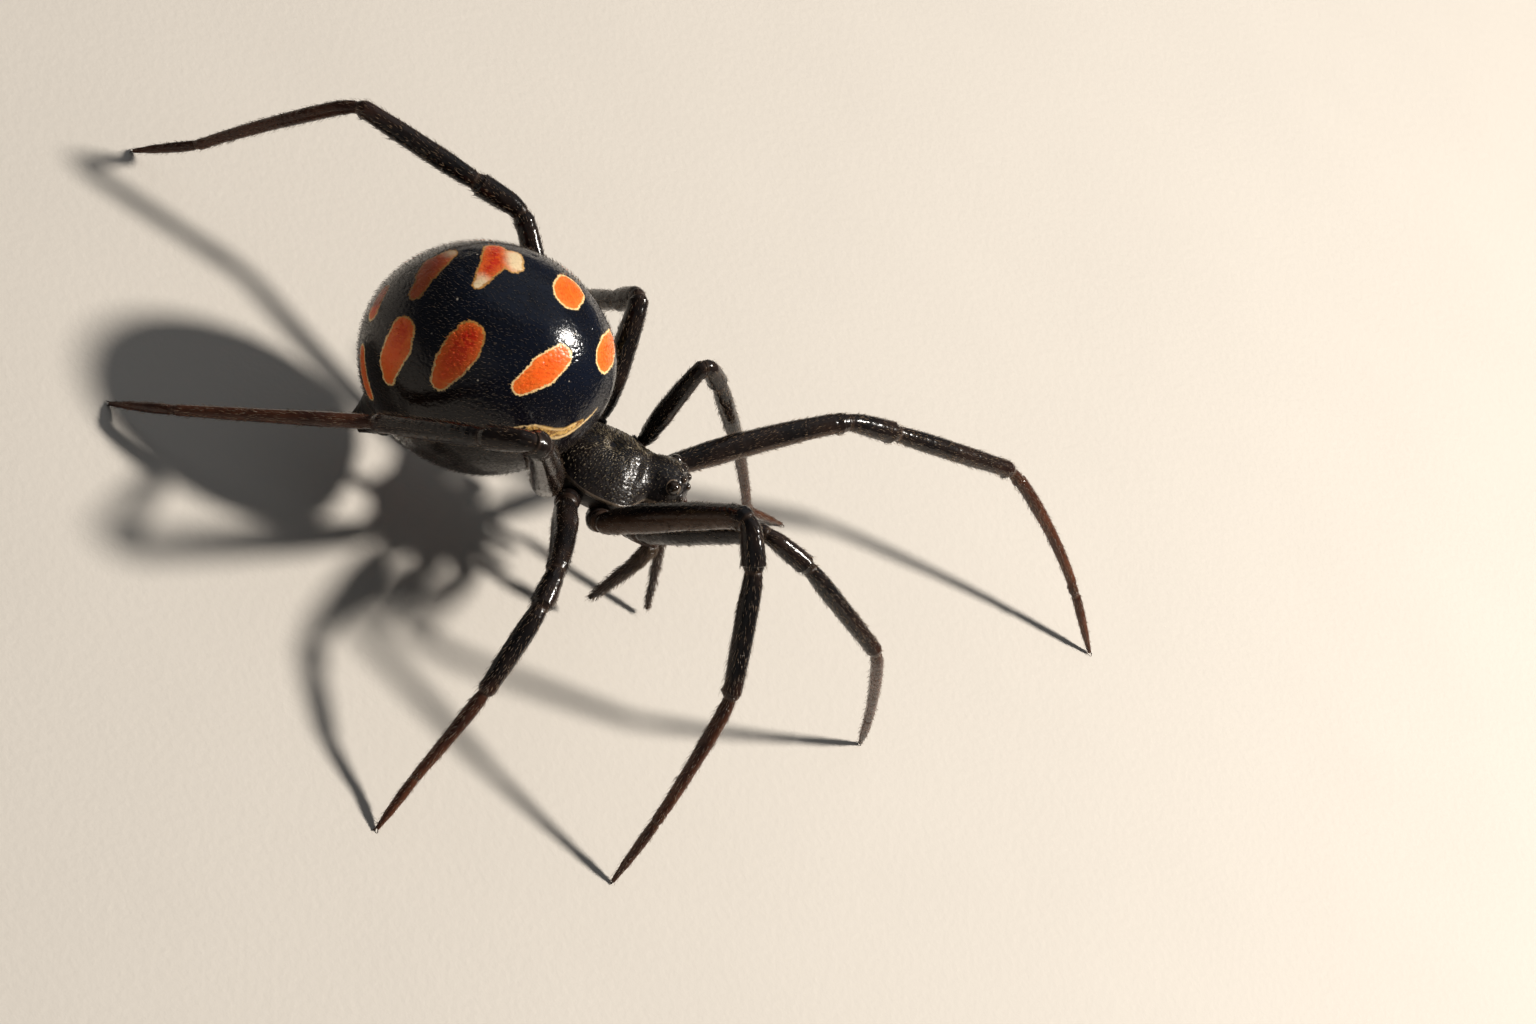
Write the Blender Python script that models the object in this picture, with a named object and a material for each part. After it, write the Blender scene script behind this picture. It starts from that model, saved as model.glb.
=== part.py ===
# A female Mediterranean black widow spider, life size, standing still on a level floor.
# Lengths are in millimetres here and become metres when each mesh is made.
# The spider faces +X, its left side is +Y, and the floor is Z = 0 while it is modelled.

import bmesh
import bpy
from math import cos, exp, pi, radians, sin, sqrt
from mathutils import Matrix, Vector

MM = 0.001
GAP = 0.3                   # space kept between two pieces that meet

# Stance of the body over the floor
RIDE_HEIGHT = 5.75          # floor to the middle of the carapace margin
BODY_SIDE = -0.12           # the body hangs a little to the right between its legs
HEAD_UP = 5.0               # degrees that the head is carried higher than the tail
LEAN_LEFT = 9.0             # degrees that the back leans towards the left side

# Head and chest shield
CARAPACE_FRONT = 2.98
CARAPACE_BACK = 2.2
THORAX_MIDDLE = -0.3        # along the shield
THORAX_HALF_WIDTH = 2.04
HEAD_HALF_WIDTH = 1.1
HEAD_START = 1.4
HEAD_RAISE = 0.15           # the head's margin stands this much higher than the thorax's
CARAPACE_HEIGHT = 1.12
MARGIN_THICKNESS = 0.2
MARGIN_HEIGHT = 0.0

# Breast plate under the shield
STERNUM_MIDDLE = -0.45
STERNUM_LENGTH = 3.4
STERNUM_WIDTH = 2.3
STERNUM_TOP = -0.5
STERNUM_BOTTOM = -1.5

# Abdomen
ABDOMEN_LENGTH = 9.4
ABDOMEN_WIDTH = 8.0
ABDOMEN_HEIGHT = 8.8
ABDOMEN_CENTRE = Vector((-6.05, -0.28, 2.13))
WAIST_DIRECTION = Vector((cos(radians(-32.0)), 0.0, sin(radians(-32.0))))
TAIL_DIRECTION = Vector((-cos(radians(-60.0)), 0.0, sin(radians(-60.0))))
WAIST_HOLLOW = 0.26         # shares by which the skin is drawn in or out there
BELLY_FLATTENING = 0.06
TAIL_POINT = 0.05

# Silk cones
CONE_RING = 0.42
CONE_LENGTHS = (0.6, 0.75)

# Eyes
EYE_RADIUS = 0.16
FRONT_SIDE_EYE_RADIUS = 0.13
BACK_SIDE_EYE_RADIUS = 0.24
SOCKET_CLEARANCE = 0.05

# Jaws, mouth and feelers
JAW_SPREAD = 0.46           # middle plane to the middle of each jaw
JAW_RADII = (0.3, 0.31, 0.26, 0.16, 0.05)
MOUTH_RADII = (0.2, 0.26, 0.18)
PALPS = {
    "l": ((1.62, 1.0, -1.7), (3.55, 1.2, -0.95), (3.65, 0.9, -2.9), (4.6, 0.5, -5.75)),
    "r": ((1.62, -1.0, -1.7), (2.78, -1.1, -1.6), (2.66, -1.1, -2.75), (1.95, -1.2, -5.05)),
}
PALP_RADII = {"l": (0.19, 0.19, 0.17, 0.15, 0.06), "r": (0.21, 0.22, 0.22, 0.2, 0.07)}

# Legs
FOOT_RADIUS = 0.16
THINNEST = 0.25             # smallest radius of a leg before its tip
CORNER = 0.62               # how far a bend reaches to each side of its joint
LEG_OVAL = 0.93             # width of a leg across its plane of bending, over its depth

# Length of each article of the four pairs of legs
ARTICLES = ("femur", "patella", "tibia", "metatarsus", "tarsus")
LENGTHS = {
    1: (7.4, 2.4, 6.2, 7.4, 3.2),
    2: (5.9, 1.9, 4.5, 5.5, 2.9),
    3: (4.9, 1.7, 3.6, 3.8, 2.3),
    4: (7.7, 2.1, 5.1, 7.1, 2.7),
}

# Where each thigh starts, beside and under the shield
HIPS = {
    "l1": (2.01, 1.75, -0.87),
    "l2": (1.38, 2.59, -0.4),
    "l3": (-0.45, 2.86, -0.4),
    "l4": (-1.85, 2.22, -0.58),
    "r1": (1.8, -1.85, -0.92),
    "r2": (0.11, -2.51, -0.75),
    "r3": (-1.31, -2.44, -0.55),
    "r4": (-2.15, -1.99, -0.61),
}

# Where each pair's hip piece meets the breast plate: degrees from its front, and height
COXA_ROOTS = {1: (36.0, -1.1), 2: (70.0, -1.05), 3: (106.0, -1.0), 4: (147.0, -1.0)}

# Pose of each leg. turn is the direction of the thigh seen from above, from straight ahead
# towards that leg's own side, and swing is added to it past the knee. lean tips the plane in
# which the leg bends. rises are the angles of the five articles above the level.
POSE = {
    "l1": dict(turn=18, lean=-33, swing=11, rises=(28, -9, -11, -43, -54)),
    "l2": dict(turn=34, lean=-7, swing=-2, rises=(89, -40, -48, -52, -22)),
    "l3": dict(turn=105, lean=0, swing=0, rises=(46, -63, -54, -41, -40)),
    "l4": dict(turn=135, lean=-1, swing=38, rises=(29, -2, -1, -60, -50)),
    "r1": dict(turn=0, lean=-24, swing=8, rises=(69, -13, -33, -65, -69)),
    "r2": dict(turn=82, lean=22, swing=-45, rises=(68, -34, -50, -71, -76)),
    "r3": dict(turn=100, lean=10, swing=-7, rises=(19, -16, -36, -52, -45)),
    "r4": dict(turn=186, lean=38, swing=-40, rises=(70, -66, -81, -48, -67)),
}

# Build of each leg. thigh and shin scale the lengths of the femur and of the other articles,
# girth and slim the thickness of the femur and of the patella and tibia. bow is the upward
# bow of the metatarsus in its middle, as a share of its length.
BUILD = {
    "l1": dict(thigh=1.11, shin=1.06, girth=0.88, slim=0.93, bow=0.03),
    "l2": dict(thigh=0.79, shin=0.98, girth=0.72, slim=0.8, bow=0.01),
    "l3": dict(thigh=0.99, shin=1.0, girth=0.9, slim=0.95, bow=0.01),
    "l4": dict(thigh=1.0, shin=1.0, girth=0.88, slim=1.0, bow=0.015),
    "r1": dict(thigh=0.88, shin=0.9, girth=0.92, slim=0.87, bow=0.01),
    "r2": dict(thigh=1.22, shin=1.03, girth=1.0, slim=0.97, bow=0.01),
    "r3": dict(thigh=1.02, shin=0.99, girth=0.9, slim=0.97, bow=0.01),
    "r4": dict(thigh=1.14, shin=1.01, girth=1.15, slim=1.03, bow=0.01),
}

# Upward bow of each femur in the middle, as a share of its length
THIGH_BOW = 0.02

# Radius along each article, as (share of its length, radius)
COXA_FORM = ((0.0, 0.34), (0.3, 0.42), (0.62, 0.43), (0.72, 0.38), (0.86, 0.42), (1.0, 0.4))
FORMS = {
    "femur": ((0.0, 0.38), (0.1, 0.48), (0.32, 0.58), (0.62, 0.55), (0.86, 0.48), (1.0, 0.45)),
    "patella": ((0.0, 0.43), (0.35, 0.46), (0.75, 0.45), (1.0, 0.38)),
    "tibia": ((0.0, 0.37), (0.15, 0.42), (0.5, 0.42), (0.85, 0.38), (1.0, 0.35)),
    "metatarsus": ((0.0, 0.28), (0.2, 0.29), (0.6, 0.26), (1.0, THINNEST)),
    "tarsus": ((0.0, THINNEST), (0.5, 0.21), (1.0, FOOT_RADIUS)),
}


def body_matrix():
    place = Matrix.Translation((0.0, BODY_SIDE, RIDE_HEIGHT))
    return place @ Matrix.Rotation(-radians(HEAD_UP), 4, "Y") @ Matrix.Rotation(-radians(LEAN_LEFT), 4, "X")


def make_material(name, colour, roughness, coat=0.0):
    material = bpy.data.materials.new(name)
    material.use_nodes = True
    shader = material.node_tree.nodes["Principled BSDF"]
    shader.inputs["Base Color"].default_value = (*colour, 1.0)
    shader.inputs["Roughness"].default_value = roughness
    shader.inputs["Metallic"].default_value = 0.0
    shader.inputs["Coat Weight"].default_value = coat
    return material


def finish(name, bm, materials, smooth=50.0):
    """Turn a mesh in millimetres into a named object in metres."""
    bmesh.ops.recalc_face_normals(bm, faces=bm.faces)
    bmesh.ops.scale(bm, vec=(MM, MM, MM), verts=bm.verts)
    mesh = bpy.data.meshes.new(name)
    bm.to_mesh(mesh)
    bm.free()
    for material in materials:
        mesh.materials.append(material)
    mesh.shade_smooth()
    mesh.set_sharp_from_angle(angle=radians(smooth))
    piece = bpy.data.objects.new(name, mesh)
    bpy.context.collection.objects.link(piece)
    return piece


def between(form, share):
    """Read a radius from (share, radius) pairs, easing from one to the next."""
    for (low, first), (high, second) in zip(form[:-1], form[1:]):
        if share <= high:
            step = (share - low) / (high - low)
            ease = step * step * (3.0 - 2.0 * step)
            return first + (second - first) * ease
    return form[-1][1]


def ring_tube(bm, rings, sides):
    """Skin a row of rings, each (centre, direction, side vector, depth, width)."""
    loops = []
    for centre, along, side, depth, width in rings:
        along = along.normalized()
        across = (side - along * side.dot(along)).normalized()
        upward = along.cross(across)
        loop = []
        for index in range(sides):
            angle = 2.0 * pi * (index + 0.5) / sides
            loop.append(bm.verts.new(centre + across * (width * cos(angle)) + upward * (depth * sin(angle))))
        loops.append(loop)
    for first, second in zip(loops[:-1], loops[1:]):
        for index in range(sides):
            after = (index + 1) % sides
            bm.faces.new((first[index], first[after], second[after], second[index]))
    bm.faces.new(loops[0])
    bm.faces.new(loops[-1])


def leg_directions(leg):
    """Direction and plane normal of each article of a leg."""
    pose = POSE[leg]
    hand = 1.0 if leg[0] == "l" else -1.0
    lean = radians(pose["lean"])
    found = []
    for index, rise in enumerate(pose["rises"]):
        turn = radians(pose["turn"] + (pose["swing"] if index else 0.0))
        ahead = Vector((cos(turn), hand * sin(turn), 0.0))
        aside = Vector((-sin(turn), hand * cos(turn), 0.0))
        upward = Vector((0.0, 0.0, cos(lean))) - aside * sin(lean)
        found.append((ahead * cos(radians(rise)) + upward * sin(radians(rise)), ahead.cross(upward)))
    return found


def leg_joints(leg):
    """Joints of a leg from the body outwards; the last point of each leg is on the floor."""
    build = BUILD[leg]
    body = body_matrix()
    joints = [body @ coxa_root(leg), body @ Vector(HIPS[leg])]
    lengths = LENGTHS[int(leg[1])]
    for index, (direction, normal) in enumerate(leg_directions(leg)):
        scale = build["shin"] if index else build["thigh"]
        joints.append(joints[-1] + direction * lengths[index] * scale)
    # the two last articles are drawn out or in a little so that the foot is on the floor
    ankle = joints[4]
    reach = ankle.z / (ankle.z - joints[6].z)
    joints[5] = ankle + (joints[5] - ankle) * reach
    joints[6] = ankle + (joints[6] - ankle) * reach
    return joints


def coxa_root(leg):
    """Point beside the breast plate where a hip piece starts."""
    around, height = COXA_ROOTS[int(leg[1])]
    hand = 1.0 if leg[0] == "l" else -1.0
    x = STERNUM_MIDDLE + cos(radians(around)) * (STERNUM_LENGTH * 0.5 + GAP)
    y = sin(radians(around)) * (STERNUM_WIDTH * 0.5 + GAP)
    return Vector((x, hand * y, height))


def corner_point(joints, index):
    """Middle of the rounded bend at a joint, and the direction there."""
    before = (joints[index] - joints[index - 1]).normalized()
    after = (joints[index + 1] - joints[index]).normalized()
    return joints[index] + (after - before) * CORNER * 0.25, (before + after).normalized()


def leg_rings(joints, normals, first, last, forms, bows):
    """Rings for the articles first..last of a leg, cut square with half a gap at each end."""
    rings = []
    for index in range(first, last + 1):
        start = joints[index]
        end = joints[index + 1]
        direction = (end - start).normalized()
        length = (end - start).length
        normal = normals[index]
        form = forms[index]
        bow = bows.get(index, 0.0) * length
        lift = normal.cross(direction)
        if lift.z < 0.0:
            lift = -lift
        if index == first and index > 0:
            middle, along = corner_point(joints, index)
            radius = between(form, 0.0)
            rings.append((middle + along * GAP * 0.5, along, normal, radius, radius * LEG_OVAL))
        elif index == first:
            radius = between(form, 0.0)
            rings.append((start, direction, normal, radius, radius * LEG_OVAL))
        elif index > first:
            middle, along = corner_point(joints, index)
            radius = between(form, 0.0)
            rings.append((middle, along, normal, radius, radius * LEG_OVAL))
        near = 0.0 if index == 0 else CORNER / length
        far = 1.0 - CORNER / length if index + 2 < len(joints) else 1.0
        shares = [share for share, radius in form if near < share < far]
        if index > 0:
            shares.insert(0, near)
        if far < 1.0:
            shares.append(far)
        else:
            shares.append(1.0)
        for share in shares:
            place = start + direction * (length * share) + lift * (bow * 4.0 * share * (1.0 - share))
            radius = between(form, share)
            rings.append((place, direction, normal, radius, radius * LEG_OVAL))
        if index == last and index + 2 < len(joints):
            middle, along = corner_point(joints, index + 1)
            radius = between(form, 1.0)
            rings.append((middle - along * GAP * 0.5, along, normal, radius, radius * LEG_OVAL))
    return rings


def cut_at_floor(bm):
    """Leave only what is above the floor, with a flat where the leg meets it."""
    geometry = list(bm.verts) + list(bm.edges) + list(bm.faces)
    bmesh.ops.bisect_plane(bm, geom=geometry, dist=1e-5, plane_co=(0, 0, 0), plane_no=(0, 0, 1),
                           clear_inner=True)
    rim = [edge for edge in bm.edges if edge.is_boundary]
    bmesh.ops.contextual_create(bm, geom=rim)


def make_leg(leg, shell):
    joints = leg_joints(leg)
    directions = leg_directions(leg)
    build = BUILD[leg]
    normals = [directions[0][1]] + [normal for direction, normal in directions]
    forms = [COXA_FORM] + [FORMS[article] for article in ARTICLES]
    for index, scale in ((1, build["girth"]), (2, build["slim"]), (3, build["slim"])):
        forms[index] = [(share, radius * scale) for share, radius in forms[index]]
    bows = {1: THIGH_BOW, 4: build["bow"]}
    # the foot runs on under the floor, where it is cut off level
    foot = (joints[6] - joints[5]).normalized()
    joints[6] = joints[6] + foot * FOOT_RADIUS * 1.5
    pieces = []
    parts = (("coxa", 0, 0, 8), ("femur", 1, 1, 10), ("tibia", 2, 3, 10), ("foot", 4, 5, 8))
    for name, first, last, sides in parts:
        bm = bmesh.new()
        ring_tube(bm, leg_rings(joints, normals, first, last, forms, bows), sides)
        if name == "foot":
            cut_at_floor(bm)
        pieces.append(finish("leg_%s_%s" % (leg, name), bm, [shell]))
    return pieces


# Head and chest

def carapace_half_width(x):
    """Half width of the shield at x: a broad round thorax, a neck, and a narrow head."""
    reach = THORAX_MIDDLE + CARAPACE_BACK
    roundness = 2.3 if x < THORAX_MIDDLE else 3.0
    thorax = THORAX_HALF_WIDTH * max(0.0, 1.0 - abs((x - THORAX_MIDDLE) / reach) ** roundness) ** 0.5
    brow = max(0.0, 1.0 - (max(0.0, x - 1.9) / (CARAPACE_FRONT - 1.85)) ** 3.0) ** 0.5
    head = HEAD_HALF_WIDTH * brow if x > THORAX_MIDDLE else 0.0
    return (thorax ** 8 + head ** 8) ** (1.0 / 8.0)


def head_share(x):
    """0 on the thorax, 1 on the head, easing over the neck."""
    return 1.0 / (1.0 + exp(-(x - HEAD_START) / 0.15))


def carapace_height(x):
    """Height of the shield over its margin along the middle line, lower at the neck."""
    rise = max(0.0, 1.0 - ((x - 0.15) / (CARAPACE_BACK + 0.37)) ** 2 * 0.86) if x < 0.15 else 1.0
    neck = 1.0 - 0.04 * head_share(x) - 0.1 * exp(-((x - 1.2) / 0.3) ** 2)
    brow = max(0.0, 1.0 - (max(0.0, x - 2.0) / (CARAPACE_FRONT - 1.95)) ** 2.6)
    return CARAPACE_HEIGHT * rise * neck * (0.25 + 0.75 * brow)


def carapace_dent(x, y):
    """Depth of the pit in the middle of the back and of the groove round the head."""
    pit = 0.2 * exp(-((x + 0.35) ** 2) / 0.1 - y * y / 0.3)
    groove = 0.13 * exp(-((x - 0.75) ** 2) / 0.05) * (1.0 - exp(-y * y / 0.15))
    return pit + groove


def carapace_margin(x):
    return MARGIN_HEIGHT + HEAD_RAISE * head_share(x)


def carapace_point(x, angle):
    """Point on the upper face of the shield, from angle 0 at the left margin to pi at the right."""
    width = carapace_half_width(x)
    y = width * cos(angle)
    # the thorax slopes evenly to its margin and the head's sides stand steeper
    arch = max(0.0, sin(angle)) ** (2.0 - 0.85 * head_share(x))
    z = carapace_margin(x) + carapace_height(x) * arch - carapace_dent(x, y) * sin(angle)
    return Vector((x, y, z))


def make_carapace(material):
    stations = 19
    over = 14
    bm = bmesh.new()
    loops = []
    for index in range(stations):
        share = index / (stations - 1)
        x = -CARAPACE_BACK + 0.08 + (CARAPACE_BACK + CARAPACE_FRONT - 0.1) * (0.5 - 0.5 * cos(pi * share))
        loop = [carapace_point(x, pi * step / over) for step in range(over + 1)]
        width = carapace_half_width(x)
        below = carapace_margin(x) - MARGIN_THICKNESS
        under = [Vector((x, -width * edge, below)) for edge in (0.93, 0.4, -0.4, -0.93)]
        loops.append([bm.verts.new(point) for point in loop + under])
    count = len(loops[0])
    for first, second in zip(loops[:-1], loops[1:]):
        for index in range(count):
            after = (index + 1) % count
            bm.faces.new((first[index], first[after], second[after], second[index]))
    bm.faces.new(loops[0])
    bm.faces.new(loops[-1])
    return finish("carapace", bm, [material])


def eye_places():
    """Centre and radius of the eight eyes, in two rows across the brow."""
    rows = []
    for name, x, angle, radius in (
        ("front_middle", 2.8, 0.38, EYE_RADIUS),
        ("back_middle", 2.5, 0.38, EYE_RADIUS),
        ("front_side", 2.72, 0.15, FRONT_SIDE_EYE_RADIUS),
        ("back_side", 2.23, 0.245, BACK_SIDE_EYE_RADIUS),
    ):
        for hand, letter in ((1.0, "l"), (-1.0, "r")):
            turn = pi * angle if hand > 0.0 else pi * (1.0 - angle)
            rows.append(("eye_%s_%s" % (name, letter), carapace_point(x, turn), radius))
    return rows


def make_eyes(material):
    eyes = []
    for name, centre, radius in eye_places():
        bm = bmesh.new()
        bmesh.ops.create_icosphere(bm, subdivisions=2, radius=radius, matrix=Matrix.Translation(centre))
        eyes.append(finish(name, bm, [material]))
    return eyes


def cut_sockets(carapace):
    """Hollow the brow under each eye, a little wider than the eye."""
    sockets = bpy.data.collections.new("sockets")
    bpy.context.scene.collection.children.link(sockets)
    for name, centre, radius in eye_places():
        bm = bmesh.new()
        bmesh.ops.create_icosphere(
            bm, subdivisions=2, radius=radius + SOCKET_CLEARANCE, matrix=Matrix.Translation(centre))
        cutter = finish("socket_" + name, bm, [])
        for owner in cutter.users_collection:
            owner.objects.unlink(cutter)
        sockets.objects.link(cutter)
    cut = carapace.modifiers.new("sockets", "BOOLEAN")
    cut.operation = "DIFFERENCE"
    cut.operand_type = "COLLECTION"
    cut.collection = sockets
    bake(carapace)
    for cutter in list(sockets.objects):
        bpy.data.objects.remove(cutter)
    bpy.data.collections.remove(sockets)


def bake(piece):
    """Apply the modifiers of a piece and keep only its largest closed surface."""
    graph = bpy.context.evaluated_depsgraph_get()
    graph.update()
    mesh = bpy.data.meshes.new_from_object(piece.evaluated_get(graph))
    piece.modifiers.clear()
    piece.data = mesh
    bm = bmesh.new()
    bm.from_mesh(mesh)
    bmesh.ops.triangulate(bm, faces=bm.faces)
    bmesh.ops.dissolve_degenerate(bm, edges=bm.edges, dist=1e-6)
    left = set(bm.faces)
    shells = []
    while left:
        stack = [left.pop()]
        shell = list(stack)
        while stack:
            face = stack.pop()
            for edge in face.edges:
                for other in edge.link_faces:
                    if other in left:
                        left.remove(other)
                        stack.append(other)
                        shell.append(other)
        shells.append(shell)
    shells.sort(key=len)
    loose = [face for shell in shells[:-1] for face in shell]
    bmesh.ops.delete(bm, geom=loose, context="FACES")
    bm.to_mesh(mesh)
    bm.free()
    mesh.shade_smooth()
    mesh.set_sharp_from_angle(angle=radians(50.0))


def make_sternum(material):
    """Heart-shaped breast plate, flat above and gently swollen below."""
    bm = bmesh.new()
    around = 24
    rings = ((STERNUM_TOP, 0.86), (STERNUM_TOP - 0.2, 1.0), (-1.1, 1.0), (-1.35, 0.82), (STERNUM_BOTTOM, 0.4))
    loops = []
    for height, size in rings:
        loop = []
        for index in range(around):
            angle = 2.0 * pi * index / around
            x = STERNUM_MIDDLE + cos(angle) * STERNUM_LENGTH * 0.5 * size
            narrow = 1.0 - 0.16 * max(0.0, -cos(angle))
            loop.append(bm.verts.new((x, sin(angle) * STERNUM_WIDTH * 0.5 * size * narrow, height)))
        loops.append(loop)
    for first, second in zip(loops[:-1], loops[1:]):
        for index in range(around):
            after = (index + 1) % around
            bm.faces.new((first[index], first[after], second[after], second[index]))
    bm.faces.new(loops[0])
    bm.faces.new(loops[-1])
    return finish("sternum", bm, [material])


def limb(name, points, radii, material, sides=8):
    """Short tapered limb through a few points, with square ends."""
    rings = []
    for index, (point, radius) in enumerate(zip(points, radii)):
        before = points[max(0, index - 1)]
        after = points[min(len(points) - 1, index + 1)]
        rings.append((point, after - before, Vector((0.0, 1.0, 0.0)), radius, radius))
    bm = bmesh.new()
    ring_tube(bm, rings, sides)
    return finish(name, bm, [material])


def make_jaws(material):
    """The two chelicerae hang from the front of the head, each ending in its fang."""
    pieces = []
    for hand, letter in ((1.0, "l"), (-1.0, "r")):
        top = Vector((2.5, hand * JAW_SPREAD, carapace_margin(2.5) - MARGIN_THICKNESS - GAP))
        points = (
            top,
            top + Vector((0.08, 0.0, -0.4)),
            top + Vector((0.04, -hand * 0.02, -0.95)),
            top + Vector((-0.12, -hand * 0.04, -1.3)),
            top + Vector((-0.32, -hand * 0.1, -1.62)),
        )
        pieces.append(limb("chelicera_" + letter, points, JAW_RADII, material, 10))
    return pieces


def make_mouth(material):
    """The two maxillae behind the jaws, which carry the feelers."""
    pieces = []
    front = STERNUM_MIDDLE + STERNUM_LENGTH * 0.5 + GAP
    for hand, letter in ((1.0, "l"), (-1.0, "r")):
        points = (
            Vector((front, hand * 0.38, -1.0)),
            Vector((front, hand * 0.38, -1.35)),
            Vector((front + 0.03, hand * 0.34, -1.8)),
        )
        pieces.append(limb("maxilla_" + letter, points, MOUTH_RADII, material, 10))
    return pieces


def make_palps(material):
    """The feelers beside the mouth, each in an upper and a lower length parted at its bend."""
    pieces = []
    for letter, points in PALPS.items():
        root, elbow, joint, tip = [Vector(point) for point in points]
        radii = PALP_RADII[letter]
        upper = (elbow - root).normalized()
        lower = (joint - elbow).normalized()
        bend = (upper + lower).normalized()
        middle = elbow - (upper - lower) * radii[1] * 0.35
        pieces.append(limb(
            "palp_%s_upper" % letter,
            (root, elbow - upper * radii[1] * 1.4, middle - bend * GAP * 0.5), radii[:3], material))
        pieces.append(limb(
            "palp_%s_lower" % letter,
            (middle + bend * GAP * 0.5, elbow + lower * radii[1] * 1.4, joint, joint.lerp(tip, 0.6), tip),
            (radii[2], radii[1], radii[2], radii[3], radii[4]), material))
    return pieces


# Abdomen

def abdomen_reach(direction):
    """Distance from the middle of the abdomen to its skin along a unit direction."""
    x, y, z = direction
    reach = 1.0 / sqrt((x * 2.0 / ABDOMEN_LENGTH) ** 2 + (y * 2.0 / ABDOMEN_WIDTH) ** 2
                       + (z * 2.0 / ABDOMEN_HEIGHT) ** 2)
    waist = max(0.0, direction.dot(WAIST_DIRECTION)) ** 6
    belly = max(0.0, -z) ** 2
    tail = max(0.0, direction.dot(TAIL_DIRECTION)) ** 10
    return reach * (1.0 - WAIST_HOLLOW * waist - BELLY_FLATTENING * belly + TAIL_POINT * tail)


def abdomen_point(direction):
    return ABDOMEN_CENTRE + direction * abdomen_reach(direction)


def make_abdomen(material):
    bm = bmesh.new()
    bmesh.ops.create_uvsphere(bm, u_segments=40, v_segments=26, radius=1.0)
    bmesh.ops.rotate(bm, verts=bm.verts, matrix=Matrix.Rotation(pi / 2.0, 3, "Y"))
    for vert in bm.verts:
        vert.co = abdomen_point(vert.co.normalized())
    return finish("abdomen", bm, [material])


def make_pedicel(material):
    """The waist, a short stalk from the back of the shield to the abdomen."""
    start = Vector((-CARAPACE_BACK + 0.08 - GAP, 0.0, 0.07))
    end = ABDOMEN_CENTRE + WAIST_DIRECTION * (abdomen_reach(WAIST_DIRECTION) + GAP)
    middle = start.lerp(end, 0.5)
    return limb("pedicel", (start, middle, end), (0.34, 0.3, 0.34), material, 10)


def make_spinnerets(material):
    """Six silk cones in a ring on a low collar under the tail."""
    tail = TAIL_DIRECTION
    start = abdomen_point(tail) + tail * GAP
    across = Vector((0.0, 1.0, 0.0))
    upward = tail.cross(across)
    rings = [(start, tail, across, 0.85, 0.85), (start + tail * 0.35, tail, across, 0.75, 0.75)]
    bm = bmesh.new()
    ring_tube(bm, rings, 16)
    collar = finish("spinnerets", bm, [material])
    cones = bpy.data.collections.new("cones")
    bpy.context.scene.collection.children.link(cones)
    for index in range(6):
        angle = 2.0 * pi * (index + 0.5) / 6
        outward = across * cos(angle) + upward * sin(angle)
        length = CONE_LENGTHS[1] if index % 3 else CONE_LENGTHS[0]
        size = length * 0.36
        foot = start + outward * CONE_RING + tail * 0.15
        tip = foot + tail * length - outward * 0.08
        line = (foot, foot.lerp(tip, 0.6), tip)
        cone = limb("cone_%d" % index, line, (size, size * 0.8, size * 0.4), material)
        for owner in cone.users_collection:
            owner.objects.unlink(cone)
        cones.objects.link(cone)
    join = collar.modifiers.new("cones", "BOOLEAN")
    join.operation = "UNION"
    join.operand_type = "COLLECTION"
    join.collection = cones
    bake(collar)
    for cone in list(cones.objects):
        bpy.data.objects.remove(cone)
    bpy.data.collections.remove(cones)
    return collar


def clear_scene():
    for old in list(bpy.data.objects):
        bpy.data.objects.remove(old)


def build():
    clear_scene()
    shell = make_material("shell", (0.012, 0.01, 0.009), 0.32, 0.3)
    skin = make_material("skin", (0.008, 0.007, 0.008), 0.25, 0.5)
    lens = make_material("lens", (0.02, 0.015, 0.01), 0.08, 1.0)

    # body pieces are modelled about the middle of the shield and carried by the body's tilt
    carapace = make_carapace(shell)
    cut_sockets(carapace)
    body = [carapace, make_sternum(shell), make_pedicel(shell), make_abdomen(skin), make_spinnerets(shell)]
    body += make_eyes(lens) + make_jaws(shell) + make_mouth(shell) + make_palps(shell)
    tilt = body_matrix()
    tilt.translation = tilt.translation * MM
    for piece in body:
        piece.matrix_world = tilt

    legs = []
    for leg in POSE:
        legs += make_leg(leg, shell)

    # the part's origin is on the floor, under the middle of its box
    spider = bpy.data.objects.new("spider", None)
    bpy.context.collection.objects.link(spider)
    bpy.context.view_layer.update()
    corners = [piece.matrix_world @ vert.co for piece in body + legs for vert in piece.data.vertices]
    low = [min(corner[axis] for corner in corners) for axis in range(3)]
    high = [max(corner[axis] for corner in corners) for axis in range(3)]
    for piece in body + legs:
        piece.parent = spider
    spider.location = (-(low[0] + high[0]) / 2.0, -(low[1] + high[1]) / 2.0, -low[2])
    bpy.context.view_layer.update()


build()
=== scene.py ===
from math import cos, exp, pi, radians, sin, sqrt

import bmesh
import bpy
import numpy as np
from mathutils import Matrix, Vector


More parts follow.
